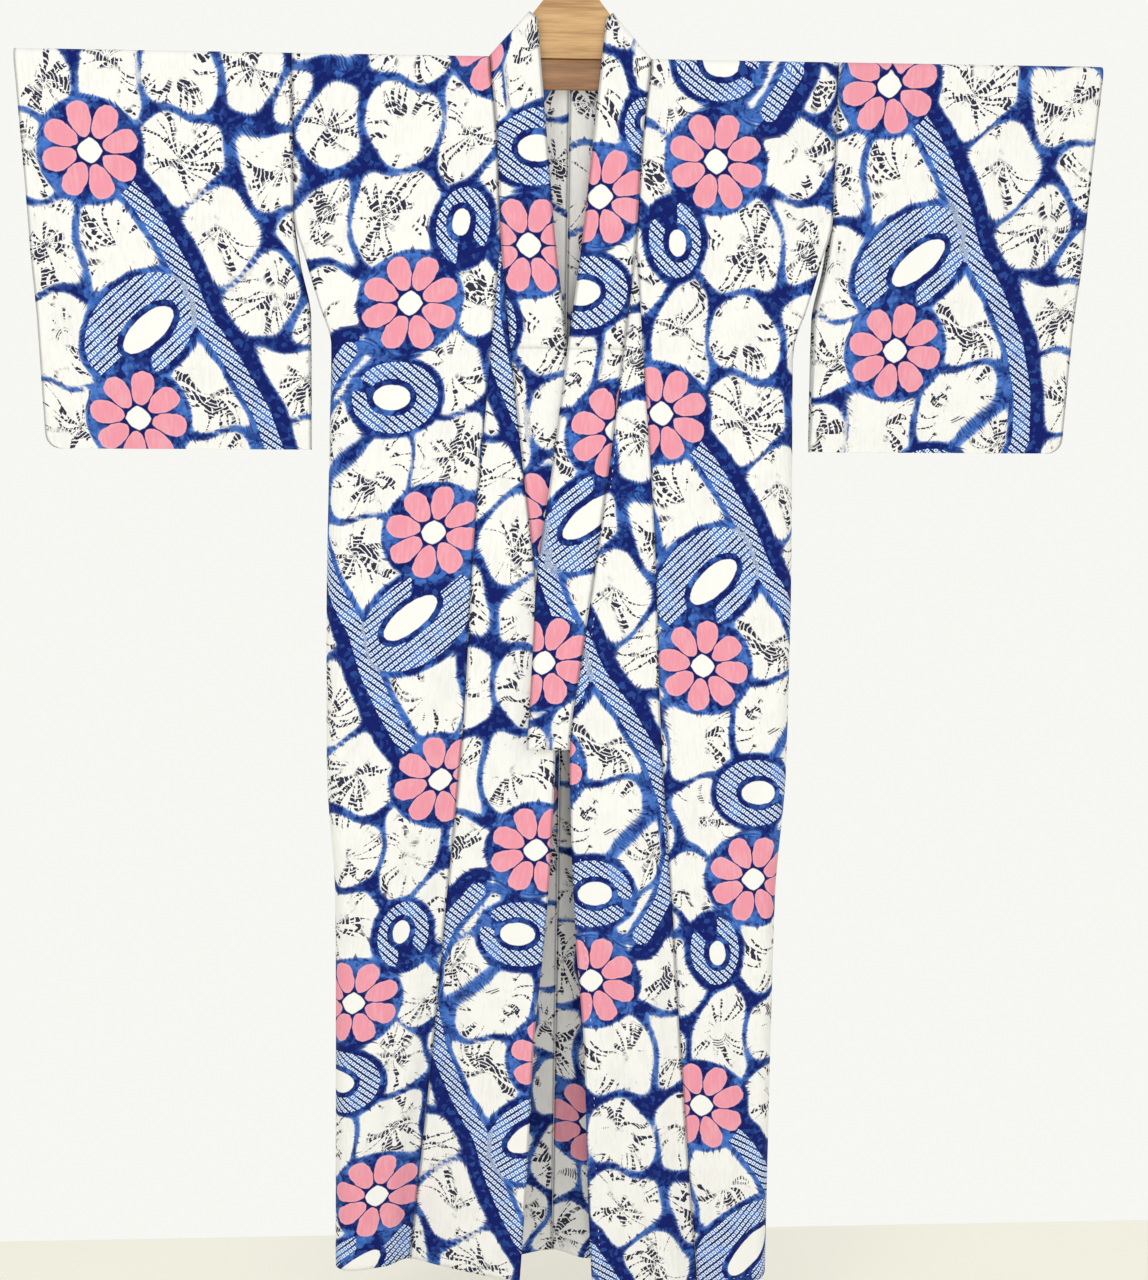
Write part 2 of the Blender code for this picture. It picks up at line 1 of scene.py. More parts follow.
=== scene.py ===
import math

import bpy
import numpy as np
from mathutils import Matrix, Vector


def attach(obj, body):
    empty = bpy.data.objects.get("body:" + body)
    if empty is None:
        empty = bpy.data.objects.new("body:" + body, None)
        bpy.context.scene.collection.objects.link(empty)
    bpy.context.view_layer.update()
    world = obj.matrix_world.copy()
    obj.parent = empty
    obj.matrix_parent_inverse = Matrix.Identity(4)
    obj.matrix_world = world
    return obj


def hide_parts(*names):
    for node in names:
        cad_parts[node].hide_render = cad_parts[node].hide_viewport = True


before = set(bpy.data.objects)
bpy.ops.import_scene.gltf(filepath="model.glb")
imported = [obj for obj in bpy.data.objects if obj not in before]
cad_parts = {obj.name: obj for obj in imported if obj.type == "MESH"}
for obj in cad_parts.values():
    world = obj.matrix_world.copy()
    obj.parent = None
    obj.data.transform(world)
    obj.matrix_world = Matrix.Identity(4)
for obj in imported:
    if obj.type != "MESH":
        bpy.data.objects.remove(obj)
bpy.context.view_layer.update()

# The looks of a cotton yukata robe on its wooden hanger: fine cloth with its tie-dyed
# print, seams and hand stitches, plain wood, a steel hook, soft light and a pale room.
# Metres, +Z up, the front faces -Y and the wearer's left is +X. A place on the cloth is
# given by across, outwards from the centre line, depth, backwards, and drop, downwards
# from the shoulder fold.

LEFT, RIGHT = 1, -1
SIDES = {LEFT: "left", RIGHT: "right"}

# Sizes of the robe, as in the frame
HANG_DROP = 0.165
SEAM_GAP = 0.0003
FOLD_HALF_DEPTH = 0.013
FOLD_RISE = 0.013
FOLD_SQUARENESS = 3.0
FOLD_DROP = 0.0138
SLEEVE_DROP = 0.483
SLEEVE_CORNER = 0.018
CUFF_OPENING = 0.23
CUFF_SEAM_RUN = 0.10
CUFF_SEAM_REACH = 0.08
SLEEVE_CLOSED = 0.00105
SLEEVE_WAVE = 0.0025
SLEEVE_WAVE_COUNT = 3.0
SLEEVE_WAVE_DROPS = (0.10, 0.36)
BODY_LENGTH = 1.615
BACK_HEM_DROP = 1.614
SIDE_SEAM_DROPS = (0.33, 0.37)
TIP_DROP = 0.235
COLLAR_END = 0.866
OVER_COLLAR_END = 0.352
OVERLAP_STEP = 0.006
OVERLAP_DROPS = (0.20, 0.33)
OVERLAP_REACH = (0.10, 0.20)
BACK_NECK_DROP = 0.022
ROBE_SHIFT = -0.0045
ROBE_SHIFT_REACH = 0.333
COLLAR_LEVEL_DROP = 0.10
NECK_EASE = 0.0008
NECK_EASE_DROP = 0.05
HEM_FOLD_START = 0.35
HEM_FOLD_POWER = 1.6
HEM_LENGTH_DROPS = (0.9, 1.6)
SLOPE_ACROSS = 0.049
SLOPE_HEIGHT = 0.0515
SLOPE_NORMAL = (0.727, 0.686)
SLOPE_RISE = 0.010
COLLAR_BACK_HEIGHT = 0.046
RIM_HALF_WIDTH = 0.022
RIM_LENGTH = 0.036

# The fine cloth: walls, and the step of its grid
CLOTH_WALL = 0.0006
COLLAR_WALL = 0.0017
OVER_COLLAR_WALL = 0.0010
OVER_COLLAR_LIFT = 0.0019
GRID_STEP = 0.0062
FOLD_STEPS = 12
NECK_STEPS = 4
COLLAR_NECK_STEPS = 18
SLEEVE_CORNER_STEPS = 7

# How much cloth the grid's steps are counted over
BODY_GRID_WIDTH = 0.36
OKUMI_GRID_WIDTH = 0.15
COLLAR_GRID_WIDTH = 0.062
SLEEVE_GRID_WIDTH = 0.335
SLEEVE_GRID_LENGTH = 0.46

# drop, half width at the armhole and then at the body's side
SIDE_LINE = (
    (0.000, 0.3330), (0.190, 0.3330), (0.250, 0.3185), (0.300, 0.3045), (0.350, 0.2900),
    (0.450, 0.2925), (0.700, 0.2990), (0.900, 0.3005), (1.080, 0.2915), (1.600, 0.2955),
)

# drop, half width at the edge of the front: the collar's seam, then the okumi's free edge
FRONT_EDGE = (
    (0.000, 0.0990), (0.100, 0.0890), (0.215, 0.0840), (0.340, 0.0720), (0.500, 0.0545),
    (0.630, 0.0385), (0.750, 0.0225), (0.866, 0.0090), (1.000, 0.0130), (1.120, 0.0200),
    (1.270, 0.0330), (1.470, 0.0410), (1.630, 0.0500),
)

# drop, half width at the seam between okumi and front
OKUMI_SEAM = (
    (0.220, 0.0840), (0.380, 0.0970), (0.600, 0.1150), (0.830, 0.1270), (1.100, 0.1500),
    (1.350, 0.1710), (1.630, 0.1985),
)

# drop, distance of the collar's free edge from the centre line, past it where negative
COLLAR_FREE_EDGE = (
    (-0.043, 0.0425), (0.000, 0.0385), (0.100, 0.0280), (0.210, 0.0175), (0.350, 0.0000),
    (0.500, -0.0175), (0.650, -0.0365), (0.750, -0.0405), (0.866, -0.0465),
)

# drop, depth of the cloth in front of and behind the hanger's plane
FRONT_DEPTH = ((0.00, 0.013), (0.25, 0.0133), (0.50, 0.018), (0.90, 0.024), (1.62, 0.030))
BACK_DEPTH = ((0.00, 0.013), (0.25, 0.0133), (0.50, 0.017), (0.90, 0.022), (1.62, 0.028))

# share of the front (0 edge, 1 okumi seam, 2 side), depth at the hem
HEM_FRONT = {
    LEFT: ((0.0, -0.052), (0.36, -0.043), (0.72, -0.054), (1.0, -0.041),
           (1.50, -0.052), (2.0, -0.034)),
    RIGHT: ((0.0, -0.050), (0.34, -0.032), (0.74, -0.010), (1.0, 0.004),
            (1.32, -0.024), (1.66, -0.029), (2.0, -0.021)),
}

# share of the front, length of the cloth from shoulder to hem
HEM_DROP = {
    LEFT: ((0.0, 1.625), (1.2, 1.625), (2.0, 1.616)),
    RIGHT: ((0.0, 1.612), (0.6, 1.606), (1.0, 1.601), (1.3, 1.597), (2.0, 1.604)),
}

# share of the back's width from the wearer's right side to the left, depth at the hem
HEM_BACK = (
    (-1.00, 0.034), (-0.74, 0.042), (-0.47, 0.031), (-0.22, 0.028), (0.00, 0.046),
    (0.16, 0.019), (0.36, 0.030), (0.58, 0.042), (0.78, 0.032), (1.00, 0.036),
)

# drop, how far round the side the side seam lies, behind the body's outermost line
SEAM_WRAP = ((0.37, 0.0), (0.80, 0.020), (1.20, 0.046), (1.615, 0.072))

# drop, half width of the sleeve at its inner edge and at its cuff
SLEEVE_INNER = ((0.000, 0.3330), (0.190, 0.3332), (0.250, 0.3270), (0.320, 0.3145), (0.483, 0.3150))
SLEEVE_CUFF = ((0.000, 0.6640), (0.170, 0.6550), (0.300, 0.6500), (0.483, 0.6440))

# drop, half the sleeve's hollow
SLEEVE_DEPTH = ((0.00, 0.013), (0.25, 0.0133), (0.36, 0.0115), (0.44, 0.0065), (0.483, 0.00105))

# Soft creases: across (from the wearer's right to the left) and drop of each end, half
# width, depth (a ridge where positive, a trough where negative)
FRONT_CREASES = (
    (-0.075, 0.700, -0.088, 0.900, 0.009, -0.0030),
    (-0.062, 0.760, -0.070, 0.980, 0.008, 0.0026),
    (-0.262, 0.260, -0.215, 0.520, 0.012, -0.0032),
    (-0.240, 0.330, -0.248, 0.820, 0.014, 0.0030),
    (-0.190, 0.950, -0.226, 1.540, 0.016, -0.0042),
    (-0.120, 1.080, -0.116, 1.520, 0.011, 0.0036),
    (-0.282, 0.500, -0.205, 0.600, 0.010, 0.0022),
    (0.268, 0.270, 0.205, 0.480, 0.012, -0.0034),
    (0.246, 0.350, 0.258, 0.760, 0.015, 0.0028),
    (0.178, 0.300, 0.190, 0.700, 0.011, -0.0024),
    (0.120, 0.980, 0.138, 1.560, 0.012, 0.0036),
    (0.234, 1.010, 0.262, 1.600, 0.016, -0.0042),
    (0.286, 0.880, 0.216, 1.010, 0.010, -0.0020),
)
BACK_CREASES = (
    (-0.250, 0.270, -0.190, 0.560, 0.013, 0.0036),
    (-0.140, 0.240, -0.160, 0.940, 0.016, -0.0030),
    (-0.215, 0.760, -0.236, 1.520, 0.018, 0.0042),
    (-0.070, 0.820, -0.080, 1.560, 0.014, 0.0038),
    (0.255, 0.280, 0.205, 0.500, 0.012, 0.0032),
    (0.110, 0.320, 0.126, 1.060, 0.016, 0.0030),
    (0.225, 0.700, 0.210, 1.480, 0.018, -0.0038),
    (0.075, 1.020, 0.070, 1.580, 0.013, 0.0040),
)
SLEEVE_CREASES = (
    (-0.345, 0.240, -0.430, 0.450, 0.014, 0.0028),
    (-0.560, 0.080, -0.590, 0.420, 0.017, 0.0024),
    (-0.470, 0.300, -0.460, 0.470, 0.011, -0.0020),
    (0.350, 0.250, 0.440, 0.440, 0.013, 0.0028),
    (0.520, 0.060, 0.545, 0.400, 0.017, 0.0022),
    (0.610, 0.250, 0.600, 0.460, 0.011, -0.0018),
)
CREASE_END = 0.30

# The print's repeat on the bolt: across from one selvedge, along the length
REPEAT = 0.922
LOBES = (
    (0.097, 0.045), (0.076, 0.126), (0.285, 0.019), (0.281, 0.106), (0.345, 0.060),
    (0.018, 0.050), (0.012, 0.150), (0.198, 0.237), (0.280, 0.224), (0.347, 0.165),
    (0.040, 0.262), (0.345, 0.270), (0.102, 0.334), (0.190, 0.337), (0.272, 0.336),
    (0.018, 0.352), (0.345, 0.370), (0.188, 0.436), (0.300, 0.455), (0.008, 0.436),
    (0.228, 0.524), (0.094, 0.545), (0.019, 0.540), (0.288, 0.606), (0.350, 0.545),
    (0.035, 0.664), (0.313, 0.710), (0.206, 0.722), (0.038, 0.766), (0.345, 0.640),
    (0.200, 0.828), (0.092, 0.852), (0.332, 0.812), (0.012, 0.868), (0.330, 0.905),
    (0.250, 0.872),
)

# across, along, turn of the petals in degrees
FLOWERS = ((0.162, 0.122, 22.0), (0.075, 0.432, 30.0), (0.110, 0.757, 11.0))
COLLAR_FLOWERS = ((0.162, 0.122, 22.0), (0.162, 0.459, 16.0), (0.110, 0.757, 11.0))

# across, along, half length and width of the white eye, shift of the band from the eye,
# half length and width of the band's outside, turn, direction of the gap in the band in
# degrees, its half width, slant of the dots' rows
LOOPS = (
    (0.175, 0.927, 0.023, 0.016, -0.004, 0.000, 0.053, 0.045, 0.0, 20.0, 10.0, 38.0),
    (0.108, 0.221, 0.017, 0.011, -0.003, -0.004, 0.047, 0.033, 92.0, 250.0, 22.0, 46.0),
    (0.130, 0.647, 0.040, 0.017, -0.009, -0.003, 0.080, 0.055, -42.0, 112.0, 24.0, -42.0),
)
LOOP_MARGIN = 0.007

# across, along: the middle of the stem
STEM = (
    (0.112, 0.470), (0.130, 0.492), (0.153, 0.530), (0.178, 0.580), (0.196, 0.632),
    (0.230, 0.684), (0.262, 0.748), (0.280, 0.812), (0.285, 0.872), (0.266, 0.935),
    (0.232, 0.984),
)
STEM_HALF_WIDTH = 0.0115
STEM_SLANT = 36.0
STEM_GROUND = 0.013
LOOP_GROUND = 0.008
FLOWER_GROUND = 0.065
LINE_HALF_WIDTH = 0.0036
LOBE_ROUNDING = 0.0085
LOBE_BEND = 0.007

# How far the print leans across the cloth for each metre along it
GRAIN_LEAN = 0.081
BACK_LEAN = 0.025
SLEEVE_LEAN = 0.04

# Where each piece is cut from the bolt: way and start across it, way and start along it
BOLT_PLACES = {
    ("body", LEFT): (1, -0.010, 1, 0.0),
    ("body", RIGHT): (1, -0.008, -1, 0.420),
    ("okumi", LEFT): (1, 0.216, 1, -0.132),
    ("okumi", RIGHT): (1, 0.210, -1, 2.047),
    ("collar", LEFT): (1, 0.114, -1, 1.210),
    ("collar", RIGHT): (1, 0.128, 1, -0.104),
    ("sleeve", LEFT): (1, -0.323, 1, 0.405),
    ("sleeve", RIGHT): (-1, 0.656, 1, 0.313),
}

# Hand stitches along the hems: which row of the grid they follow, how far off the cloth
# they start, the width of the cuff's hem, and the sizes that the nodes take
HEM_ROW = 2
BACK_HEM_ROW = -3
STITCH_LIFT = 0.0001
CUFF_HEM_WIDTH = 0.013
STITCH_SIZES = {"Stitch spacing": 0.010, "Stitch length": 0.0026, "Thread radius": 0.0003}
STITCH_SCALES = (0.75, 1.2)
STITCH_SEED = 7

# Heights of the board's glue lines above the shoulder fold
GLUE_LINES = (0.058, 0.028, -0.005)

# Colours, in linear light
WHITE = (0.775, 0.768, 0.745, 1.0)
STAIN = (0.62, 0.65, 0.70, 1.0)
# painted shade: the grey of the white cloth in the troughs of its crinkle
CRINKLE_SHADE = (0.60, 0.59, 0.56, 1.0)
BLUE = (0.040, 0.132, 0.460, 1.0)
PALE_BLUE = (0.200, 0.350, 0.720, 1.0)
NAVY = (0.004, 0.010, 0.112, 1.0)
INK = (0.003, 0.005, 0.034, 1.0)
PINK = (0.720, 0.270, 0.340, 1.0)
PALE_PINK = (0.740, 0.400, 0.450, 1.0)
DOT_WHITE = (0.700, 0.790, 0.860, 1.0)
WOOD_LIGHT = (0.560, 0.345, 0.150, 1.0)
WOOD_DARK = (0.330, 0.170, 0.060, 1.0)
# painted shade: the bar's wood is a darker copy of the board's wood, standing in for the shadow it lies
# in
SHADED_BAR_LIGHT = (0.330, 0.165, 0.070, 1.0)
SHADED_BAR_DARK = (0.190, 0.085, 0.032, 1.0)
FLOOR_LIGHT = (0.78, 0.77, 0.68, 1.0)
FLOOR_DARK = (0.70, 0.69, 0.61, 1.0)
THREAD_LIGHT = (0.90, 0.90, 0.88, 1.0)
THREAD_DARK = (0.74, 0.74, 0.72, 1.0)
STEEL_DARK = (0.52, 0.52, 0.53, 1.0)
STEEL_LIGHT = (0.68, 0.68, 0.69, 1.0)
SEAM_SHADE = (0.25, 0.27, 0.36, 1.0)
SKY = (1.0, 1.0, 0.96, 1.0)
SKY_STRENGTH = 0.93

# Camera: place, turn to the side, tilt down, roll, and lens for a picture of this width
CAMERA_PLACE = (-0.1843, -2.8, -0.2561)
CAMERA_YAW = 4.07
CAMERA_TILT = 12.8
CAMERA_ROLL = -0.87
CAMERA_LENS = 69.85
PICTURE_WIDTH = 36.0

FLOOR = -1.885
FLOOR_BACK = 0.30
FLOOR_FRONT = -4.0
FLOOR_HALF_WIDTH = 3.5

# Lights: place, aim, size and power
ROBE_MIDDLE = (0.0, 0.0, -0.95)
LIGHTS = {
    "key_light": ((-1.9, -2.3, 1.1), ROBE_MIDDLE, 1.6, 19.0),
    "fill_light": ((2.2, -2.2, 0.1), ROBE_MIDDLE, 2.4, 3.0),
    "low_light": ((0.1, -3.3, -0.75), (0.0, 0.0, -1.15), 1.0, 29.0),
    "back_light": ((0.6, 2.6, 0.2), ROBE_MIDDLE, 1.8, 26.0),
}


def clamp(value, low=0.0, high=1.0):
    """Keep values between two limits."""
    return np.minimum(high, np.maximum(low, value))


def mix(start, end, share):
    """Blend two values."""
    return start + (end - start) * share


def ramp(value, start, end):
    """Rise smoothly from 0 at start to 1 at end."""
    share = clamp((value - start) / (end - start))
    return share * share * (3.0 - 2.0 * share)


def read(table, at):
    """Read a two-column table along a smooth line through its rows, for many places."""
    places, values = np.array(table, dtype=float).T
    steps = np.diff(places)
    runs = np.diff(values) / steps
    product = runs[:-1] * runs[1:]
    total = np.where(product > 0.0, runs[:-1] + runs[1:], 1.0)
    bends = np.where(product > 0.0, 2.0 * product / total, 0.0)
    slopes = np.concatenate(([runs[0]], bends, [runs[-1]]))
    at = clamp(np.asarray(at, dtype=float), places[0], places[-1])
    row = np.clip(np.searchsorted(places, at) - 1, 0, len(steps) - 1)
    share = (at - places[row]) / steps[row]
    rest = 1.0 - share
    ends = values[row] * rest * rest * (1.0 + 2.0 * share)
    ends = ends + values[row + 1] * share * share * (3.0 - 2.0 * share)
    slant = slopes[row] * share * rest * rest - slopes[row + 1] * share * share * rest
    return ends + slant * steps[row]


def place(side, across, depth, drop):
    """World points of places on the cloth, which hangs a little to the wearer's right."""
    across, depth, drop = np.broadcast_arrays(across, depth, drop)
    shift = ROBE_SHIFT * clamp(np.abs(across) / ROBE_SHIFT_REACH) ** 2
    return np.stack((side * across + shift, depth, -HANG_DROP - drop), axis=-1)


def fold_growth(drop):
    """How far the hem's folds have grown at this drop, from 0 to 1."""
    return clamp((drop - HEM_FOLD_START) / (BODY_LENGTH - HEM_FOLD_START)) ** HEM_FOLD_POWER


def front_share(across, drop):
    """Share of the front's width: 0 at its edge, 1 at the okumi seam, 2 at the side."""
    edge = read(FRONT_EDGE, drop)
    seam = np.maximum(read(OKUMI_SEAM, drop), edge + 0.003)
    outer = 1.0 + clamp((across - seam) / (read(SIDE_LINE, drop) - seam))
    return np.where(across < seam, clamp((across - edge) / (seam - edge)), outer)


def crease_depth(creases, x, drop):
    """Height of the listed creases at each place."""
    height = np.zeros(np.broadcast(x, drop).shape)
    for start_x, start_drop, end_x, end_drop, half_width, depth in creases:
        along = np.array((end_x - start_x, end_drop - start_drop))
        length = np.hypot(*along)
        along = along / length
        run = ((x - start_x) * along[0] + (drop - start_drop) * along[1]) / length
        off = (x - start_x) * along[1] - (drop - start_drop) * along[0]
        ends = ramp(run, 0.0, CREASE_END) * (1.0 - ramp(run, 1.0 - CREASE_END, 1.0))
        height = height + depth * ends * np.exp(-((off / half_width) ** 2))
    return height


def front_depth(side, across, drop):
    """Depth of the front at a place; the wearer's left front lies over the right one."""
    hem = read(HEM_FRONT[side], front_share(across, drop))
    depth = mix(-read(FRONT_DEPTH, drop), hem, fold_growth(drop))
    if side == LEFT:
        depth = depth - OVERLAP_STEP * ramp(drop, *OVERLAP_DROPS) * (1.0 - ramp(across, *OVERLAP_REACH))
    return depth - crease_depth(FRONT_CREASES, side * across, drop)


def back_depth(side, across, drop):
    """Depth of the back at a place."""
    share = side * across / read(SIDE_LINE, drop)
    depth = mix(read(BACK_DEPTH, drop), read(HEM_BACK, share), fold_growth(drop))
    return depth + crease_depth(BACK_CREASES, side * across, drop)


def front_drop(side, across, drop):
    """Drop of a place on the front, eased to the hem's own length."""
    longer = read(HEM_DROP[side], front_share(across, drop)) - BODY_LENGTH
    return drop + longer * ramp(drop, *HEM_LENGTH_DROPS)


def back_drop(drop):
    """Drop of a place on the back, eased to the hem's own length."""
    return drop + (BACK_HEM_DROP - BODY_LENGTH) * ramp(drop, *HEM_LENGTH_DROPS)


def front_point(side, across, drop):
    """World points on the front of the robe."""
    return place(side, across, front_depth(side, across, drop), front_drop(side, across, drop))


def back_point(side, across, drop):
    """World points on the back of the robe."""
    return place(side, across, back_depth(side, across, drop), back_drop(drop))


def rim_point(side, way, drop):
    """World points on the rounded side; way runs from the front (-) round to the back (+)."""
    start = read(SIDE_LINE, drop) - RIM_HALF_WIDTH
    front = front_depth(side, start, drop)
    back = back_depth(side, start, drop)
    angle = math.pi / 2 * clamp(way / RIM_LENGTH, -1.0, 1.0)
    across = start + RIM_HALF_WIDTH * np.cos(angle)
    depth = (front + back) / 2 + (back - front) / 2 * np.sin(angle)
    fall = mix(front_drop(side, start, drop), back_drop(drop), (1.0 + np.sin(angle)) / 2)
    round_side = place(side, across, depth, fall)
    behind = back_point(side, start - (way - RIM_LENGTH), drop)
    return np.where((way > RIM_LENGTH)[..., None], behind, round_side)


def shoulder_profile(turn):
    """Depth and rise of the cloth over the bar; turn runs from 0 in front to 1 behind."""
    angle = math.pi * turn
    power = 2.0 / FOLD_SQUARENESS
    return -math.copysign(abs(math.cos(angle)) ** power, math.cos(angle)), abs(math.sin(angle)) ** power


def steps_over(length):
    """How many grid steps a length takes."""
    return max(2, int(round(length / GRID_STEP)))


def wrapped_row(side, drop, inner, columns, behind):
    """A row of a body panel: points, and how far across the cloth each one lies."""
    side_line = float(read(SIDE_LINE, drop))
    outer = side_line - SEAM_GAP / 2
    shares = np.linspace(0.0, 1.0, columns)
    drops = np.full(columns, drop)
    straight_across = mix(inner, outer, shares)
    point = back_point if behind else front_point
    straight = point(side, straight_across, drops)
    closed = float(ramp(drop, *SIDE_SEAM_DROPS))
    if closed == 0.0:
        return straight, straight_across
    seam = float(read(SEAM_WRAP, drop))
    flat_end = side_line - RIM_HALF_WIDTH
    if behind:
        rim_start = max(RIM_LENGTH, seam + SEAM_GAP / 2)
        flat_end -= rim_start - RIM_LENGTH
        run = rim_start - seam - SEAM_GAP / 2
    else:
        rim_start = -RIM_LENGTH
        run = seam - SEAM_GAP / 2 + RIM_LENGTH
    across = shares * (flat_end - inner + run) + inner
    past = across - flat_end
    way = rim_start - past if behind else rim_start + past
    flat = point(side, np.minimum(across, flat_end), drops)
    rounded = np.where((past > 0.0)[:, None], rim_point(side, way, drops), flat)
    return mix(straight, rounded, closed), mix(straight_across, across, closed)


def front_inner(drop):
    """Inner edge of the front panel: along the collar, then along the okumi."""
    ease = SEAM_GAP / 2 + NECK_EASE * (1.0 - ramp(drop, 0.0, NECK_EASE_DROP))
    collar = read(FRONT_EDGE, drop) + ease
    return float(np.where(drop < TIP_DROP, collar, read(OKUMI_SEAM, drop) + SEAM_GAP / 2))


def on_bolt(piece, side, across, along):
    """Where places on a piece lie on the printed bolt."""
    across_way, across_start, along_way, along_start = BOLT_PLACES[piece, side]
    return across_way * across + across_start, along_way * along + along_start


def fold_rows(side, straight):
    """Rows of points over the bar, with how far along the cloth each one lies."""
    points, along = [], []
    for step in range(1, FOLD_STEPS):
        depth, rise = shoulder_profile(step / FOLD_STEPS)
        points.append(place(side, straight, FOLD_HALF_DEPTH * depth, FOLD_DROP - FOLD_RISE * rise))
        along.append(np.full(len(straight), FOLD_DROP * (1.0 - 2.0 * step / FOLD_STEPS)))
    return points, along


def body_grid(side):
    """Points of one body panel up the front, over the bar and down the back."""
    columns = steps_over(BODY_GRID_WIDTH)
    points, across, along = [], [], []
    for drop in np.linspace(BODY_LENGTH, FOLD_DROP, steps_over(BODY_LENGTH)):
        row, cloth = wrapped_row(side, drop, front_inner(drop), columns, False)
        points.append(row)
        across.append(cloth - GRAIN_LEAN * drop)
        along.append(np.full(columns, drop))
    inner = front_inner(FOLD_DROP)
    outer = float(read(SIDE_LINE, FOLD_DROP)) - SEAM_GAP / 2
    straight = np.linspace(inner, outer, columns)
    top, top_along = fold_rows(side, straight)
    points += top
    across += [straight] * len(top)
    along += top_along
    for step in range(NECK_STEPS + 1):
        share = step / NECK_STEPS
        drop = mix(FOLD_DROP, BACK_NECK_DROP + SEAM_GAP / 2, share)
        row = np.linspace(mix(inner, SEAM_GAP / 2, share), outer, columns)
        points.append(back_point(side, row, np.full(columns, drop)))
        across.append(row)
        along.append(np.full(columns, -drop))
    for drop in np.linspace(2 * BACK_NECK_DROP, BODY_LENGTH, steps_over(BODY_LENGTH)):
        row, cloth = wrapped_row(side, drop, SEAM_GAP / 2, columns, True)
        points.append(row)
        across.append(cloth + BACK_LEAN * drop)
        along.append(np.full(columns, -drop))
    across, along = on_bolt("body", side, np.array(across), np.array(along))
    return np.array(points), across, along


def okumi_grid(side):
    """Points of the okumi, from the hem to its point, between its edge and the front."""
    columns = steps_over(OKUMI_GRID_WIDTH)
    drops = np.linspace(BODY_LENGTH, TIP_DROP, steps_over(BODY_LENGTH - TIP_DROP))
    inner = read(FRONT_EDGE, drops) + SEAM_GAP / 2
    outer = read(OKUMI_SEAM, drops) - SEAM_GAP / 2
    x = mix(inner[:, None], outer[:, None], np.linspace(0.0, 1.0, columns))
    drop = np.repeat(drops[:, None], columns, axis=1)
    across, along = on_bolt("okumi", side, x - GRAIN_LEAN * drop, drop)
    return front_point(side, x, drop), across, along


def collar_neck_rows():
    """The collar's seam edge and free edge round the neck, row by row to the back's centre."""
    seam_across = float(read(FRONT_EDGE, FOLD_DROP)) - SEAM_GAP / 2 - NECK_EASE
    free_across = SLOPE_ACROSS - SLOPE_NORMAL[0] * SLOPE_RISE
    free_drop = -SLOPE_HEIGHT + SLOPE_NORMAL[1] * SLOPE_RISE
    rows = []
    for step in range(1, COLLAR_NECK_STEPS + 1):
        share = step / COLLAR_NECK_STEPS
        seam_drop = mix(COLLAR_LEVEL_DROP, FOLD_DROP, share)
        seam = min(float(read(FRONT_EDGE, seam_drop)) - SEAM_GAP / 2, seam_across)
        edge = mix(float(read(COLLAR_FREE_EDGE, COLLAR_LEVEL_DROP)), free_across, share)
        edge_drop = mix(COLLAR_LEVEL_DROP, free_drop, share)
        rows.append(((seam, -FOLD_HALF_DEPTH, seam_drop), (edge, -FOLD_HALF_DEPTH, edge_drop)))
    for step in range(1, FOLD_STEPS + 1):
        depth, rise = shoulder_profile(step / FOLD_STEPS)
        depth *= FOLD_HALF_DEPTH
        edge = free_across + SLOPE_NORMAL[0] * SLOPE_RISE * rise
        edge_drop = free_drop - SLOPE_NORMAL[1] * SLOPE_RISE * rise
        rows.append(((seam_across, depth, FOLD_DROP - FOLD_RISE * rise), (edge, depth, edge_drop)))
    for step in range(1, COLLAR_NECK_STEPS + 1):
        share = step / COLLAR_NECK_STEPS
        rest = 1.0 - share
        seam_drop = mix(FOLD_DROP, BACK_NECK_DROP, share) - SEAM_GAP / 2
        edge_drop = mix(free_drop, -COLLAR_BACK_HEIGHT, share)
        rows.append(((seam_across * rest, FOLD_HALF_DEPTH, seam_drop),
                     (free_across * rest, FOLD_HALF_DEPTH, edge_drop)))
    return rows


def collar_half(side, end_drop, columns):
    """Points of half the collar, with how far each lies from the seam and along it."""
    shares = np.linspace(0.0, 1.0, columns)
    points, off, along = [], [], []
    for drop in np.linspace(end_drop, COLLAR_LEVEL_DROP, steps_over(end_drop - COLLAR_LEVEL_DROP)):
        seam = float(read(FRONT_EDGE, drop)) - SEAM_GAP / 2
        free = float(read(COLLAR_FREE_EDGE, drop))
        x = mix(seam, free, shares)
        points.append(front_point(side, x, np.full(columns, drop)))
        off.append(seam - x)
        along.append(np.full(columns, drop))
    reach = COLLAR_LEVEL_DROP
    for seam, edge in collar_neck_rows():
        ends = [place(side, *[np.array(value) for value in end]) for end in (seam, edge)]
        row = mix(ends[0][None, :], ends[1][None, :], shares[:, None])
        middle = columns // 2
        reach -= float(np.linalg.norm(row[middle] - points[-1][middle]))
        points.append(row)
        off.append(shares * float(np.linalg.norm(ends[1] - ends[0])))
        along.append(np.full(columns, reach))
    return np.array(points), np.array(off), np.array(along)


def collar_grid(end_drop):
    """Points of the whole collar from the wearer's right end round the neck to the left."""
    columns = steps_over(COLLAR_GRID_WIDTH)
    halves = []
    for side in (RIGHT, LEFT):
        points, off, along = collar_half(side, end_drop, columns)
        halves.append((points, *on_bolt("collar", side, off, along)))
    return [np.concatenate((right, left[-2::-1])) for right, left in zip(*halves)]


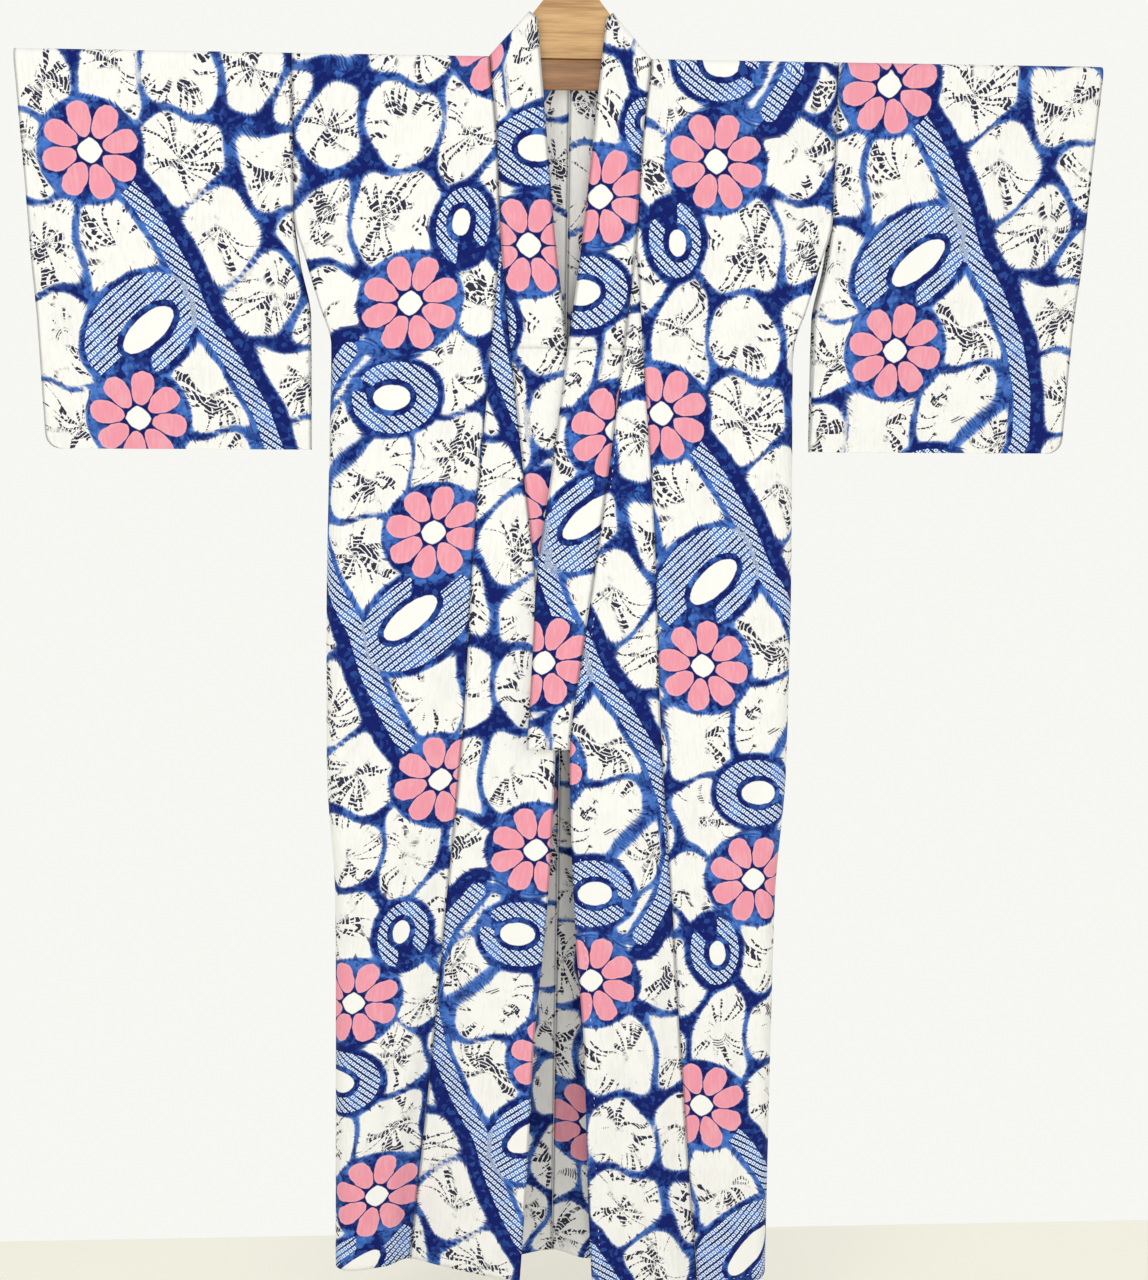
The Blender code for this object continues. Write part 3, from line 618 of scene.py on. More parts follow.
def sleeve_half_depth(across, drop):
    """Half the sleeve's hollow at a place, shut along the lower part of the cuff."""
    cuff = read(SLEEVE_CUFF, drop)
    inner = read(SLEEVE_INNER, drop)
    share = clamp((across - inner) / (cuff - inner))
    wave = SLEEVE_WAVE * np.sin(SLEEVE_WAVE_COUNT * math.pi * share) * ramp(drop, *SLEEVE_WAVE_DROPS)
    hollow = read(SLEEVE_DEPTH, drop)
    hollow = hollow + wave * np.sin(math.pi * share) * hollow / FOLD_HALF_DEPTH
    shut = ramp(drop, CUFF_OPENING, CUFF_OPENING + CUFF_SEAM_RUN)
    shut = shut * (1.0 - ramp(cuff - across, 0.0, CUFF_SEAM_REACH))
    return mix(hollow, SLEEVE_CLOSED, shut)


def sleeve_columns(drop, columns):
    """Places across the sleeve, from the armhole to the cuff with its rounded corner."""
    past = float(clamp((drop - SLEEVE_DROP + SLEEVE_CORNER) / SLEEVE_CORNER))
    outer = float(read(SLEEVE_CUFF, drop)) - SLEEVE_CORNER * (1.0 - math.sqrt(1.0 - past * past))
    return np.linspace(float(read(SLEEVE_INNER, drop)) + SEAM_GAP / 2, outer, columns)


def sleeve_grid(side):
    """Points of one sleeve: up its front, over the bar and down its back."""
    columns = steps_over(SLEEVE_GRID_WIDTH)
    turns = np.linspace(0.0, math.pi / 2, SLEEVE_CORNER_STEPS)
    rows = steps_over(SLEEVE_GRID_LENGTH)
    heights = np.concatenate((
        SLEEVE_DROP - SLEEVE_CORNER * (1.0 - np.cos(turns)),
        np.linspace(SLEEVE_DROP - SLEEVE_CORNER, FOLD_DROP, rows)[1:]))
    front, back, front_along, back_along, cloth = [], [], [], [], []
    for drop in heights:
        x = sleeve_columns(drop, columns)
        hollow = sleeve_half_depth(x, drop)
        crease = crease_depth(SLEEVE_CREASES, side * x, drop) * hollow / FOLD_HALF_DEPTH
        front.append(place(side, x, -hollow - crease, drop))
        back.append(place(side, x, hollow + crease, drop))
        cloth.append(x + SLEEVE_LEAN * drop)
        front_along.append(np.full(columns, drop))
        back_along.append(np.full(columns, -drop))
    straight = sleeve_columns(FOLD_DROP, columns)
    top, top_along = fold_rows(side, straight)
    across = np.array(cloth + [straight] * len(top) + cloth[::-1])
    along = np.array(front_along + top_along + back_along[::-1])
    across, along = on_bolt("sleeve", side, across, along)
    return np.array(front + top + back[::-1]), across, along


def nearest_repeat(along, home):
    """Distance along the cloth to the nearest repeat of a motif."""
    return along - home - REPEAT * np.round((along - home) / REPEAT)


def soft_least(values, softness):
    """The least of some values, rounded where two are alike."""
    low = np.min(values, axis=0)
    return low - softness * np.log(np.sum(np.exp(-(values - low) / softness), axis=0))


def oval_distance(off_across, off_along, half_length, half_width, turn):
    """Rough distance to an oval's outline, negative inside."""
    angle = math.radians(turn)
    long = off_across * math.cos(angle) + off_along * math.sin(angle)
    short = -off_across * math.sin(angle) + off_along * math.cos(angle)
    size = np.hypot(long / half_length, short / half_width)
    slope = np.hypot(long / half_length ** 2, short / half_width ** 2)
    return np.where(size > 0.05, (size - 1.0) * size / np.maximum(slope, 1.0), -half_width)


def stem_distance(across, along):
    """Distance to the middle of the stem and its side: 1 at the dark side, -1 at the light."""
    best = np.full(across.shape, 9.0)
    side = np.zeros(across.shape)
    for (start_u, start_v), (end_u, end_v) in zip(STEM, STEM[1:]):
        middle = (start_v + end_v) / 2
        v = middle + nearest_repeat(along, middle)
        run_u, run_v = end_u - start_u, end_v - start_v
        share = ((across - start_u) * run_u + (v - start_v) * run_v) / (run_u ** 2 + run_v ** 2)
        share = clamp(share)
        gap = np.hypot(across - start_u - share * run_u, v - start_v - share * run_v)
        dark = np.sign((across - start_u) * run_v - (v - start_v) * run_u)
        side = np.where(gap < best, dark, side)
        best = np.minimum(best, gap)
    return best, side


def lobe_facts(across, along):
    """Distance to the edge of the lobe round each place, its offset, and how far in a corner."""
    lobes = np.array(LOBES)
    turn = 2.0 * math.pi
    bend_u = LOBE_BEND * np.sin(turn * (7.0 * along / REPEAT + across / 0.21))
    bend_v = LOBE_BEND * np.sin(turn * (across / 0.083 + 3.0 * along / REPEAT))
    off_u = across[None, :] + bend_u - lobes[:, 0, None]
    off_v = nearest_repeat(along[None, :] + bend_v, lobes[:, 1, None])
    power = off_u ** 2 + off_v ** 2
    home = np.argmin(power, axis=0)
    pick = np.arange(across.size)
    home_u, home_v = off_u[home, pick], off_v[home, pick]
    span = np.hypot(home_u[None, :] - off_u, home_v[None, :] - off_v)
    edge = (power - power[home, pick][None, :]) / (2.0 * np.maximum(span, 0.01))
    edge[home, pick] = 1.0
    rounded = soft_least(edge, LOBE_ROUNDING)
    corner = (np.min(edge, axis=0) - rounded) / LOBE_ROUNDING
    return rounded, home_u, home_v, home, corner


def dye_facts(across, along, flowers):
    """What the dyer's chart says at each place on the cloth, for the shader to paint."""
    shape = across.shape
    across, along = across.ravel(), along.ravel()
    edge, heart_u, heart_v, home, corner = lobe_facts(across, along)
    grounds = [edge - LINE_HALF_WIDTH]
    flower_u = np.full(across.shape, 1.0)
    flower_v = np.full(across.shape, 1.0)
    flower_turn = np.zeros(across.shape)
    for home_u, home_v, turn in flowers:
        off_u, off_v = across - home_u, nearest_repeat(along, home_v)
        near = np.hypot(off_u, off_v) < np.hypot(flower_u, flower_v)
        flower_u = np.where(near, off_u, flower_u)
        flower_v = np.where(near, off_v, flower_v)
        flower_turn = np.where(near, math.radians(turn), flower_turn)
    grounds.append(np.hypot(flower_u, flower_v) - FLOWER_GROUND)
    stem, stem_side = stem_distance(across, along)
    grounds.append(stem - STEM_HALF_WIDTH - STEM_GROUND * (1.0 + 0.5 * stem_side))
    band = STEM_HALF_WIDTH - stem
    by_stem = 1.0 - ramp(stem, 0.030, 0.050)
    by_flower = 1.0 - ramp(np.hypot(flower_u, flower_v), 0.062, 0.080)
    deep = corner + by_stem * stem_side - 0.45 * by_flower
    slant = np.full(across.shape, math.radians(STEM_SLANT))
    eye = np.full(across.shape, -1.0)
    for (home_u, home_v, length, width, shift_u, shift_v, band_length, band_width, turn, gap, gap_half,
         rows) in LOOPS:
        off_u, off_v = across - home_u, nearest_repeat(along, home_v)
        inside = -oval_distance(off_u, off_v, length, width, turn)
        outside = oval_distance(off_u - shift_u, off_v - shift_v, band_length, band_width, turn)
        deep = mix(deep, 0.35, 1.0 - ramp(-inside, 0.010, 0.016))
        ring = np.minimum(-outside, -inside - LOOP_MARGIN)
        heading = np.degrees(np.arctan2(off_v, off_u)) - gap
        heading = (heading + 180.0) % 360.0 - 180.0
        opening = (np.abs(heading) - gap_half) * 0.0006 if gap_half else 1.0
        ring = np.minimum(ring, opening)
        slant = np.where(ring > band, math.radians(rows), slant)
        band = np.maximum(band, ring)
        eye = np.maximum(eye, inside)
        grounds.append(outside - LOOP_GROUND)
    white = soft_least(np.array(grounds), 0.002)
    facts = {
        "dye_white": white, "dye_band": band, "dye_eye": eye, "dye_slant": slant, "dye_deep": deep,
        "dye_flower": np.stack((flower_u, flower_v, flower_turn), axis=-1),
        "dye_reach": np.hypot(flower_u, flower_v),
        "dye_heart": np.stack((heart_u, heart_v, home.astype(float)), axis=-1),
    }
    return {name: value.reshape(shape + value.shape[1:]) for name, value in facts.items()}


def edge_facts(points, hem_rows):
    """Distance of each point to its piece's own edges, for seams and folded hems."""
    rows, columns = points.shape[:2]
    widths = np.linalg.norm(np.diff(points, axis=1), axis=2)
    reach = np.concatenate((np.zeros((rows, 1)), np.cumsum(widths, axis=1)), axis=1)
    side = np.minimum(reach, reach[:, -1:] - reach)
    lengths = np.linalg.norm(np.diff(points, axis=0), axis=2)
    run = np.concatenate((np.zeros((1, columns)), np.cumsum(lengths, axis=0)), axis=0)
    start, end = hem_rows
    hem = np.full(side.shape, 1.0)
    if start:
        hem = np.minimum(hem, run)
    if end:
        hem = np.minimum(hem, run[-1:] - run)
    return side, hem


def add_object(name, data):
    """Add an object with this mesh, lamp or camera to the scene."""
    made = bpy.data.objects.new(name, data)
    bpy.context.scene.collection.objects.link(made)
    return made


def grid_mesh(name, points):
    """A mesh with one quad for each cell of a grid of points."""
    rows, columns = points.shape[:2]
    corner = np.arange(rows * columns).reshape(rows, columns)
    loops = [corner[:-1, :-1], corner[:-1, 1:], corner[1:, 1:], corner[1:, :-1]]
    quads = np.stack(loops, axis=-1).reshape(-1, 4)
    mesh = bpy.data.meshes.new(name)
    mesh.from_pydata(points.reshape(-1, 3).tolist(), [], quads.tolist())
    mesh.shade_smooth()
    return mesh


def write_facts(mesh, facts):
    """Store the chart's facts on a mesh's points."""
    for name, value in facts.items():
        kind = "FLOAT_VECTOR" if value.ndim == 3 else "FLOAT"
        layer = mesh.attributes.new(name, kind, "POINT")
        layer.data.foreach_set("vector" if kind == "FLOAT_VECTOR" else "value", value.ravel())


def write_cloth_map(mesh, across, along):
    """Lay the piece out flat in metres, as its own UV map."""
    layer = mesh.uv_layers.new(name="cloth")
    corners = np.empty(len(mesh.loops), dtype=np.int32)
    mesh.loops.foreach_get("vertex_index", corners)
    flat = np.stack((across.ravel()[corners], along.ravel()[corners]), axis=-1)
    layer.data.foreach_set("uv", flat.ravel())


def make_cloth(name, node, grid, wall, material, hems, flowers=FLOWERS, lift=0.0):
    """Make one fine piece of cloth in place of its solid, with its place on the printed bolt as its UV
    map.
    """
    points, across, along = grid
    if lift:
        points = points + lift * grid_normals(points)
    mesh = grid_mesh(name, points)
    facts = dye_facts(across, along, flowers)
    facts["edge_side"], facts["edge_hem"] = edge_facts(points, hems)
    write_facts(mesh, facts)
    write_cloth_map(mesh, across, along)
    mesh.materials.append(material)
    cloth = add_object(name, mesh)
    shell = cloth.modifiers.new("wall", "SOLIDIFY")
    shell.thickness = wall
    shell.offset = 0.0
    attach(cloth, "root")
    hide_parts(node)


def grid_normals(points):
    """Outward direction at each point of a grid."""
    down = np.gradient(points, axis=0)
    over = np.gradient(points, axis=1)
    normal = np.cross(over, down)
    return normal / np.linalg.norm(normal, axis=2, keepdims=True)


class Paint:
    """Short names for the shader nodes that the finishes use."""

    def __init__(self, name):
        self.material = bpy.data.materials.new(name)
        self.material.use_nodes = True
        self.tree = self.material.node_tree
        self.shader = self.tree.nodes["Principled BSDF"]

    def node(self, kind, **settings):
        made = self.tree.nodes.new(kind)
        for name, value in settings.items():
            setattr(made, name, value)
        return made

    def feed(self, socket, value):
        if isinstance(value, bpy.types.NodeSocket):
            self.tree.links.new(value, socket)
        elif value is not None:
            socket.default_value = value

    def math(self, operation, first, second=None, third=None):
        made = self.node("ShaderNodeMath", operation=operation)
        for socket, value in zip(made.inputs, (first, second, third)):
            self.feed(socket, value)
        return made.outputs[0]

    def vector(self, operation, first, second=None, scale=None):
        made = self.node("ShaderNodeVectorMath", operation=operation)
        self.feed(made.inputs[0], first)
        self.feed(made.inputs[1], second)
        if scale is not None:
            self.feed(made.inputs["Scale"], scale)
        return made.outputs["Value" if operation in ("LENGTH", "DISTANCE", "DOT_PRODUCT") else "Vector"]

    def split(self, value):
        made = self.node("ShaderNodeSeparateXYZ")
        self.feed(made.inputs[0], value)
        return made.outputs

    def join(self, x, y, z=0.0):
        made = self.node("ShaderNodeCombineXYZ")
        for socket, value in zip(made.inputs, (x, y, z)):
            self.feed(socket, value)
        return made.outputs[0]

    def attribute(self, name, output="Fac"):
        return self.node("ShaderNodeAttribute", attribute_name=name).outputs[output]

    def noise(self, at, scale, detail=2.0, roughness=0.5):
        made = self.node("ShaderNodeTexNoise")
        self.feed(made.inputs["Vector"], at)
        made.inputs["Scale"].default_value = scale
        made.inputs["Detail"].default_value = detail
        made.inputs["Roughness"].default_value = roughness
        return made.outputs["Fac"]

    def cells(self, at, scale, feature="F1"):
        made = self.node("ShaderNodeTexVoronoi", feature=feature)
        self.feed(made.inputs["Vector"], at)
        made.inputs["Scale"].default_value = scale
        return made.outputs

    def rise(self, value, start, end):
        made = self.node("ShaderNodeMapRange", interpolation_type="SMOOTHSTEP")
        self.feed(made.inputs["Value"], value)
        made.inputs["From Min"].default_value = start
        made.inputs["From Max"].default_value = end
        return made.outputs["Result"]

    def fall(self, value, start, end):
        return self.math("SUBTRACT", 1.0, self.rise(value, start, end))

    def blend(self, share, first, second, kind="MIX"):
        made = self.node("ShaderNodeMix", data_type="RGBA", blend_type=kind)
        self.feed(made.inputs[0], share)
        self.feed(made.inputs[6], first)
        self.feed(made.inputs[7], second)
        return made.outputs[2]

    def bump(self, height, distance, strength=1.0, normal=None):
        made = self.node("ShaderNodeBump")
        self.feed(made.inputs["Height"], height)
        made.inputs["Distance"].default_value = distance
        made.inputs["Strength"].default_value = strength
        self.feed(made.inputs["Normal"], normal)
        return made.outputs["Normal"]


def wander(paint, at, scale, reach, detail=2.0):
    """A small uneven shift, up to reach either way."""
    return paint.math("MULTIPLY_ADD", paint.noise(at, scale, detail), 2.0 * reach, -reach)


def blue_ground(paint, at, white):
    """Mid blue mottled with navy, in small uneven patches with dark seams."""
    bent = paint.vector("ADD", at, paint.vector("SCALE", paint.join(
        wander(paint, at, 70.0, 1.0), wander(paint, at, 83.0, 1.0)), scale=0.004))
    patch = paint.cells(bent, 175.0)
    tone = paint.split(patch["Color"])[0]
    broad = paint.noise(at, 26.0, 3.0, 0.6)
    dark = paint.math("MULTIPLY_ADD", tone, 0.16, broad)
    dark = paint.math("MULTIPLY_ADD", paint.attribute("dye_deep"), 0.17, dark)
    near_white = paint.rise(white, -0.0055, -0.0008)
    dark = paint.math("MULTIPLY_ADD", near_white, -0.08, dark)
    navy = paint.rise(dark, 0.49, 0.59)
    seam = paint.rise(patch["Distance"], 0.45, 0.75)
    lift = paint.math("MULTIPLY", tone, 0.22)
    soft = paint.blend(lift, BLUE, PALE_BLUE)
    soft = paint.blend(paint.math("MULTIPLY", seam, 0.30), soft, NAVY)
    night = paint.blend(paint.math("MULTIPLY", paint.rise(tone, 0.55, 0.95), 0.35), NAVY, BLUE)
    return paint.blend(navy, soft, night)


def crinkle_marks(paint, at, white):
    """Broken dark marks that radiate inside each lobe, with ticks along its edge."""
    heart = paint.split(paint.attribute("dye_heart", "Vector"))
    flat = paint.join(heart[0], heart[1])
    reach = paint.math("MAXIMUM", paint.vector("LENGTH", flat), 0.002)
    heading = paint.vector("SCALE", flat, scale=paint.math("DIVIDE", 1.0, reach))
    own = paint.math("MULTIPLY", heart[2], 17.3)
    crook = paint.math("MULTIPLY_ADD", reach, 7.0, own)
    star = paint.noise(paint.vector("ADD", heading, paint.join(0.0, 0.0, crook)), 2.0, 2.0, 0.5)
    away = paint.math("ABSOLUTE", paint.math("SUBTRACT", star, 0.5))
    width = paint.math("MINIMUM", paint.math("DIVIDE", 0.00080, reach), 0.045)
    thick = paint.rise(paint.noise(at, 120.0, 1.0), 0.30, 0.70)
    width = paint.math("MULTIPLY", width, paint.math("MULTIPLY_ADD", thick, 1.8, 0.5))
    ray = paint.math("LESS_THAN", away, width)
    sway = paint.math("MULTIPLY", paint.noise(at, 90.0), 9.0)
    ladder = paint.math("SINE", paint.math("MULTIPLY_ADD", reach, 1100.0, sway))
    ray = paint.math("MULTIPLY", ray, paint.rise(ladder, -0.80, -0.60))
    patchy = paint.rise(paint.noise(at, 17.0, 2.0), 0.46, 0.51)
    ray = paint.math("MULTIPLY", ray, patchy)

    bars = paint.math("SINE", paint.math("MULTIPLY_ADD", reach, 1750.0, sway))
    bars = paint.rise(bars, 0.0, 0.35)
    beside = paint.math("MULTIPLY", paint.math("DIVIDE", 0.0015, reach), paint.rise(reach, 0.011, 0.014))
    bars = paint.math("MULTIPLY", bars, paint.math("LESS_THAN", away, beside))
    clump = paint.math("MULTIPLY", bars, paint.rise(paint.noise(at, 21.0, 2.0), 0.62, 0.65))
    marks = paint.math("MAXIMUM", ray, clump)
    return paint.math("MULTIPLY", marks, paint.rise(white, 0.0006, 0.0020))


def edge_ticks(paint, white):
    """Short spikes of dye that reach in from a lobe's edge, and dark beads along its line."""
    heart = paint.split(paint.attribute("dye_heart", "Vector"))
    flat = paint.vector("NORMALIZE", paint.join(heart[0], heart[1]))
    own = paint.math("MULTIPLY", heart[2], 11.7)
    fine = paint.noise(paint.vector("ADD", flat, paint.join(0.0, 0.0, own)), 15.0, 1.5)
    spikes = paint.rise(paint.math("MULTIPLY_ADD", white, -30.0, fine), 0.55, 0.60)
    beads = paint.math("MULTIPLY", paint.rise(fine, 0.50, 0.56), paint.rise(white, -0.0080, -0.0050))
    return spikes, beads


def dotted_rows(paint, at):
    """Slanted rows of tiny pale squares with a dark dot in each."""
    slant = paint.attribute("dye_slant")
    cos, sin = paint.math("COSINE", slant), paint.math("SINE", slant)
    across, along, _ = paint.split(at)
    run = paint.math("ADD", paint.math("MULTIPLY", across, cos), paint.math("MULTIPLY", along, sin))
    step = paint.math("SUBTRACT", paint.math("MULTIPLY", along, cos), paint.math("MULTIPLY", across, sin))
    step = paint.math("DIVIDE", step, 0.0074)
    run = paint.math("MULTIPLY_ADD", paint.math("FLOOR", step), 0.37, paint.math("DIVIDE", run, 0.0062))
    cell_run = paint.math("SUBTRACT", paint.math("FRACT", run), 0.5)
    cell_step = paint.math("SUBTRACT", paint.math("FRACT", step), 0.5)
    near = paint.vector("LENGTH", paint.join(cell_run, cell_step))
    beside = paint.rise(paint.math("ABSOLUTE", cell_run), 0.34, 0.42)
    between = paint.rise(paint.math("ABSOLUTE", cell_step), 0.29, 0.35)
    dot = paint.fall(near, 0.12, 0.20)
    worn = paint.rise(paint.noise(at, 48.0, 2.0), 0.50, 0.70)
    color = paint.blend(paint.math("MULTIPLY", worn, 0.35), DOT_WHITE, PALE_BLUE)
    ground = paint.blend(paint.rise(paint.noise(at, 38.0, 2.0), 0.36, 0.52), BLUE, NAVY)
    color = paint.blend(beside, color, BLUE)
    color = paint.blend(between, color, ground)
    return paint.blend(paint.math("MULTIPLY", dot, 0.90), color, NAVY)


def crinkle_light_and_shade(paint, at):
    """A mask of painted light and shade for the crinkle: fine uneven streaks along the cloth, where its
    crinkle takes the light.
    """
    across, along, _ = paint.split(at)
    fine = paint.noise(paint.join(across, paint.math("MULTIPLY", along, 0.16)), 260.0, 3.0, 0.6)
    broad = paint.noise(paint.join(across, paint.math("MULTIPLY", along, 0.45)), 40.0, 2.0)
    return paint.rise(paint.math("MULTIPLY_ADD", broad, 0.6, fine), 0.72, 1.00)


def flower_paint(paint, at, under):
    """Eight egg-shaped petals with a pale rim and painted highlights along the crinkle, round a white
    middle ringed with navy.
    """
    across, along, turn = paint.split(paint.attribute("dye_flower", "Vector"))
    across = paint.math("ADD", across, wander(paint, at, 55.0, 0.0022))
    along = paint.math("ADD", along, wander(paint, at, 61.0, 0.0022))
    reach = paint.vector("LENGTH", paint.join(across, along))
    heading = paint.math("SUBTRACT", paint.math("ARCTAN2", along, across), turn)
    eighth = math.pi / 4
    petal = paint.math("SUBTRACT", paint.math("FLOORED_MODULO", paint.math("ADD", heading, eighth / 2),
                                              eighth), eighth / 2)
    out = paint.math("MULTIPLY", reach, paint.math("COSINE", petal))
    off = paint.math("MULTIPLY", reach, paint.math("SINE", petal))
    spare = paint.math("MULTIPLY_ADD", out, math.tan(eighth / 2), paint.math("MULTIPLY", paint.math(
        "ABSOLUTE", off), -1.0))
    out = paint.math("DIVIDE", paint.math("SUBTRACT", out, 0.0382), 0.0214)
    wide = paint.math("MULTIPLY_ADD", out, 0.0030, 0.0136)
    off = paint.math("DIVIDE", off, wide)
    full = paint.math("POWER", paint.math("ABSOLUTE", out), 1.2)
    shape = paint.vector("LENGTH", paint.join(full, off))
    shape = paint.math("ADD", shape, wander(paint, at, 120.0, 0.09))
    petals = paint.fall(shape, 0.96, 1.03)
    petals = paint.math("MULTIPLY", petals, paint.rise(spare, 0.0003, 0.0011))
    rim = paint.math("MULTIPLY", paint.rise(shape, 0.80, 0.98), 0.45)
    # painted highlight: the crinkle's streaks lighten the petals towards pale pink
    crinkle_highlight = paint.math("MULTIPLY", crinkle_light_and_shade(paint, at), 0.45)
    highlighted_pink = paint.blend(crinkle_highlight, PINK, PALE_PINK)
    pink = paint.blend(rim, highlighted_pink, PALE_PINK)
    ring = paint.fall(reach, 0.0180, 0.0195)
    slanted = paint.join(paint.math("ADD", across, along), paint.math("SUBTRACT", across, along))
    far = paint.split(paint.vector("ABSOLUTE", slanted))
    corner = paint.math("MULTIPLY", paint.math("MAXIMUM", far[0], far[1]), 0.7071)
    size = paint.math("MULTIPLY_ADD", corner, 0.4, paint.math("MULTIPLY", reach, 0.6))
    middle = paint.fall(size, 0.0128, 0.0142)
    gaps = paint.fall(reach, 0.038, 0.052)
    base = paint.blend(paint.math("MULTIPLY", gaps, 0.75), under, NAVY)
    color = paint.blend(ring, base, NAVY)
    color = paint.blend(petals, color, pink)
    return paint.blend(middle, color, WHITE)


def cloth_bump(paint, at):
    """Crepe of the puckered cloth, its seams and the folded hems."""
    across, along, _ = paint.split(at)
    threads = paint.noise(paint.join(paint.math("MULTIPLY", across, 6.0), along), 150.0, 2.0)
    pucker = paint.noise(at, 85.0, 3.0, 0.6)
    seam = paint.fall(paint.attribute("edge_side"), 0.0, 0.0035)
    fold = paint.fall(paint.attribute("edge_hem"), 0.0115, 0.0140)
    height = paint.math("MULTIPLY_ADD", threads, 0.35, pucker)
    height = paint.math("SUBTRACT", height, paint.math("MULTIPLY", seam, 1.4))
    height = paint.math("MULTIPLY_ADD", fold, 0.9, height)
    return paint.bump(height, 0.0011, 0.75), seam


def dyed_cotton(name):
    """Tie-dyed cotton: white lobes on blue, stems and loops of dots, and pink flowers."""
    paint = Paint(name)
    at = paint.node("ShaderNodeUVMap", uv_map="cloth").outputs[0]
    white = paint.attribute("dye_white")
    white = paint.math("ADD", white, wander(paint, at, 9.0, 0.0050))
    white = paint.math("ADD", white, wander(paint, at, 48.0, 0.0022))
    white = paint.math("ADD", white, wander(paint, at, 330.0, 0.0009, 3.0))
    ground = blue_ground(paint, at, white)
    spikes, beads = edge_ticks(paint, white)
    glow = paint.rise(white, -0.0030, 0.0004)
    ground_lit = paint.blend(paint.math("MULTIPLY", glow, 0.45), ground, PALE_BLUE)
    ground_lit = paint.blend(paint.math("MULTIPLY", beads, 0.70), ground_lit, NAVY)

    stain = paint.math("MULTIPLY", paint.rise(paint.noise(at, 12.0, 4.0, 0.65), 0.50, 0.80), 0.35)
    plain = paint.blend(stain, WHITE, STAIN)
    # painted shade: the crinkle's streaks darken the white cloth in its troughs
    plain = paint.blend(paint.math("MULTIPLY", crinkle_light_and_shade(paint, at), 0.28), plain, CRINKLE_SHADE)
    plain = paint.blend(paint.math("MULTIPLY", spikes, 0.85), plain, NAVY)
    plain = paint.blend(paint.math("MULTIPLY", crinkle_marks(paint, at, white), 0.97), plain, INK)
    color = paint.blend(paint.rise(white, -0.0008, 0.0016), ground_lit, plain)

    band = paint.math("ADD", paint.attribute("dye_band"), wander(paint, at, 190.0, 0.0012))
    color = paint.blend(paint.rise(band, 0.0, 0.0008), color, dotted_rows(paint, at))
    eye = paint.math("ADD", paint.attribute("dye_eye"), wander(paint, at, 90.0, 0.0012))
    color = paint.blend(paint.rise(eye, -0.0005, 0.0008), color, WHITE)

    inside = paint.fall(paint.attribute("dye_reach"), 0.0605, 0.0615)
    color = paint.blend(inside, color, flower_paint(paint, at, ground))

    normal, seam = cloth_bump(paint, at)
    color = paint.blend(paint.math("MULTIPLY", seam, 0.35), color, SEAM_SHADE, "MULTIPLY")
    paint.feed(paint.shader.inputs["Base Color"], color)
    paint.feed(paint.shader.inputs["Normal"], normal)
    rough = paint.math("MULTIPLY_ADD", paint.noise(at, 140.0), 0.12, 0.82)
    paint.feed(paint.shader.inputs["Roughness"], rough)
    paint.shader.inputs["Sheen Weight"].default_value = 0.02
    paint.shader.inputs["Sheen Roughness"].default_value = 0.55
    paint.shader.inputs["Specular IOR Level"].default_value = 0.10
    return paint.material


def plain_wood(name, light, dark, lines):
    """Wood with its grain along X, and glue lines at the given heights."""
    paint = Paint(name)
    at = paint.node("ShaderNodeTexCoord").outputs["Object"]
    long = paint.vector("MULTIPLY", at, (1.0, 6.0, 9.0))
    broad = paint.noise(long, 9.0, 4.0, 0.6)
    fine = paint.noise(paint.vector("MULTIPLY", at, (2.0, 40.0, 60.0)), 9.0, 3.0)
    grain = paint.math("MULTIPLY_ADD", fine, 0.35, paint.math("MULTIPLY", broad, 0.8))
    color = paint.blend(paint.rise(grain, 0.38, 0.78), light, dark)
    height = paint.split(at)[2]
    dark_lines = None
    for line in lines:
        gap = paint.math("ABSOLUTE", paint.math("SUBTRACT", height, line - HANG_DROP))
        near = paint.fall(gap, 0.0003, 0.0010)
        dark_lines = near if dark_lines is None else paint.math("MAXIMUM", dark_lines, near)
    if dark_lines is not None:
        color = paint.blend(paint.math("MULTIPLY", dark_lines, 0.7), color, dark)
    paint.feed(paint.shader.inputs["Base Color"], color)
    rough = paint.math("MULTIPLY_ADD", fine, 0.20, 0.42)
    paint.feed(paint.shader.inputs["Roughness"], rough)
    paint.feed(paint.shader.inputs["Normal"], paint.bump(grain, 0.0004, 0.5))
    return paint.material


def drawn_steel(name):
    """Plain drawn steel wire, with faint lines from the die."""
    paint = Paint(name)
    at = paint.node("ShaderNodeTexCoord").outputs["Object"]
    lines = paint.noise(paint.vector("MULTIPLY", at, (1.0, 1.0, 8.0)), 420.0, 2.0)
    color = paint.blend(lines, STEEL_DARK, STEEL_LIGHT)
    paint.feed(paint.shader.inputs["Base Color"], color)
    paint.shader.inputs["Metallic"].default_value = 1.0
    paint.feed(paint.shader.inputs["Roughness"], paint.math("MULTIPLY_ADD", lines, 0.16, 0.24))
    return paint.material


def plain_floor(name):
    """Pale matt paint, a little uneven."""
    paint = Paint(name)
    at = paint.node("ShaderNodeTexCoord").outputs["Object"]
    tone = paint.noise(at, 1.6, 3.0)
    paint.feed(paint.shader.inputs["Base Color"], paint.blend(tone, FLOOR_LIGHT, FLOOR_DARK))
    paint.shader.inputs["Roughness"].default_value = 0.95
    return paint.material


def thread_material(name):
    """White cotton sewing thread, with its twist."""
    paint = Paint(name)
    at = paint.node("ShaderNodeTexCoord").outputs["Object"]
    twist = paint.noise(at, 900.0, 1.0)
    paint.feed(paint.shader.inputs["Base Color"], paint.blend(twist, THREAD_DARK, THREAD_LIGHT))
    paint.feed(paint.shader.inputs["Normal"], paint.bump(twist, 0.0002, 0.6))
    paint.shader.inputs["Roughness"].default_value = 0.8
    return paint.material


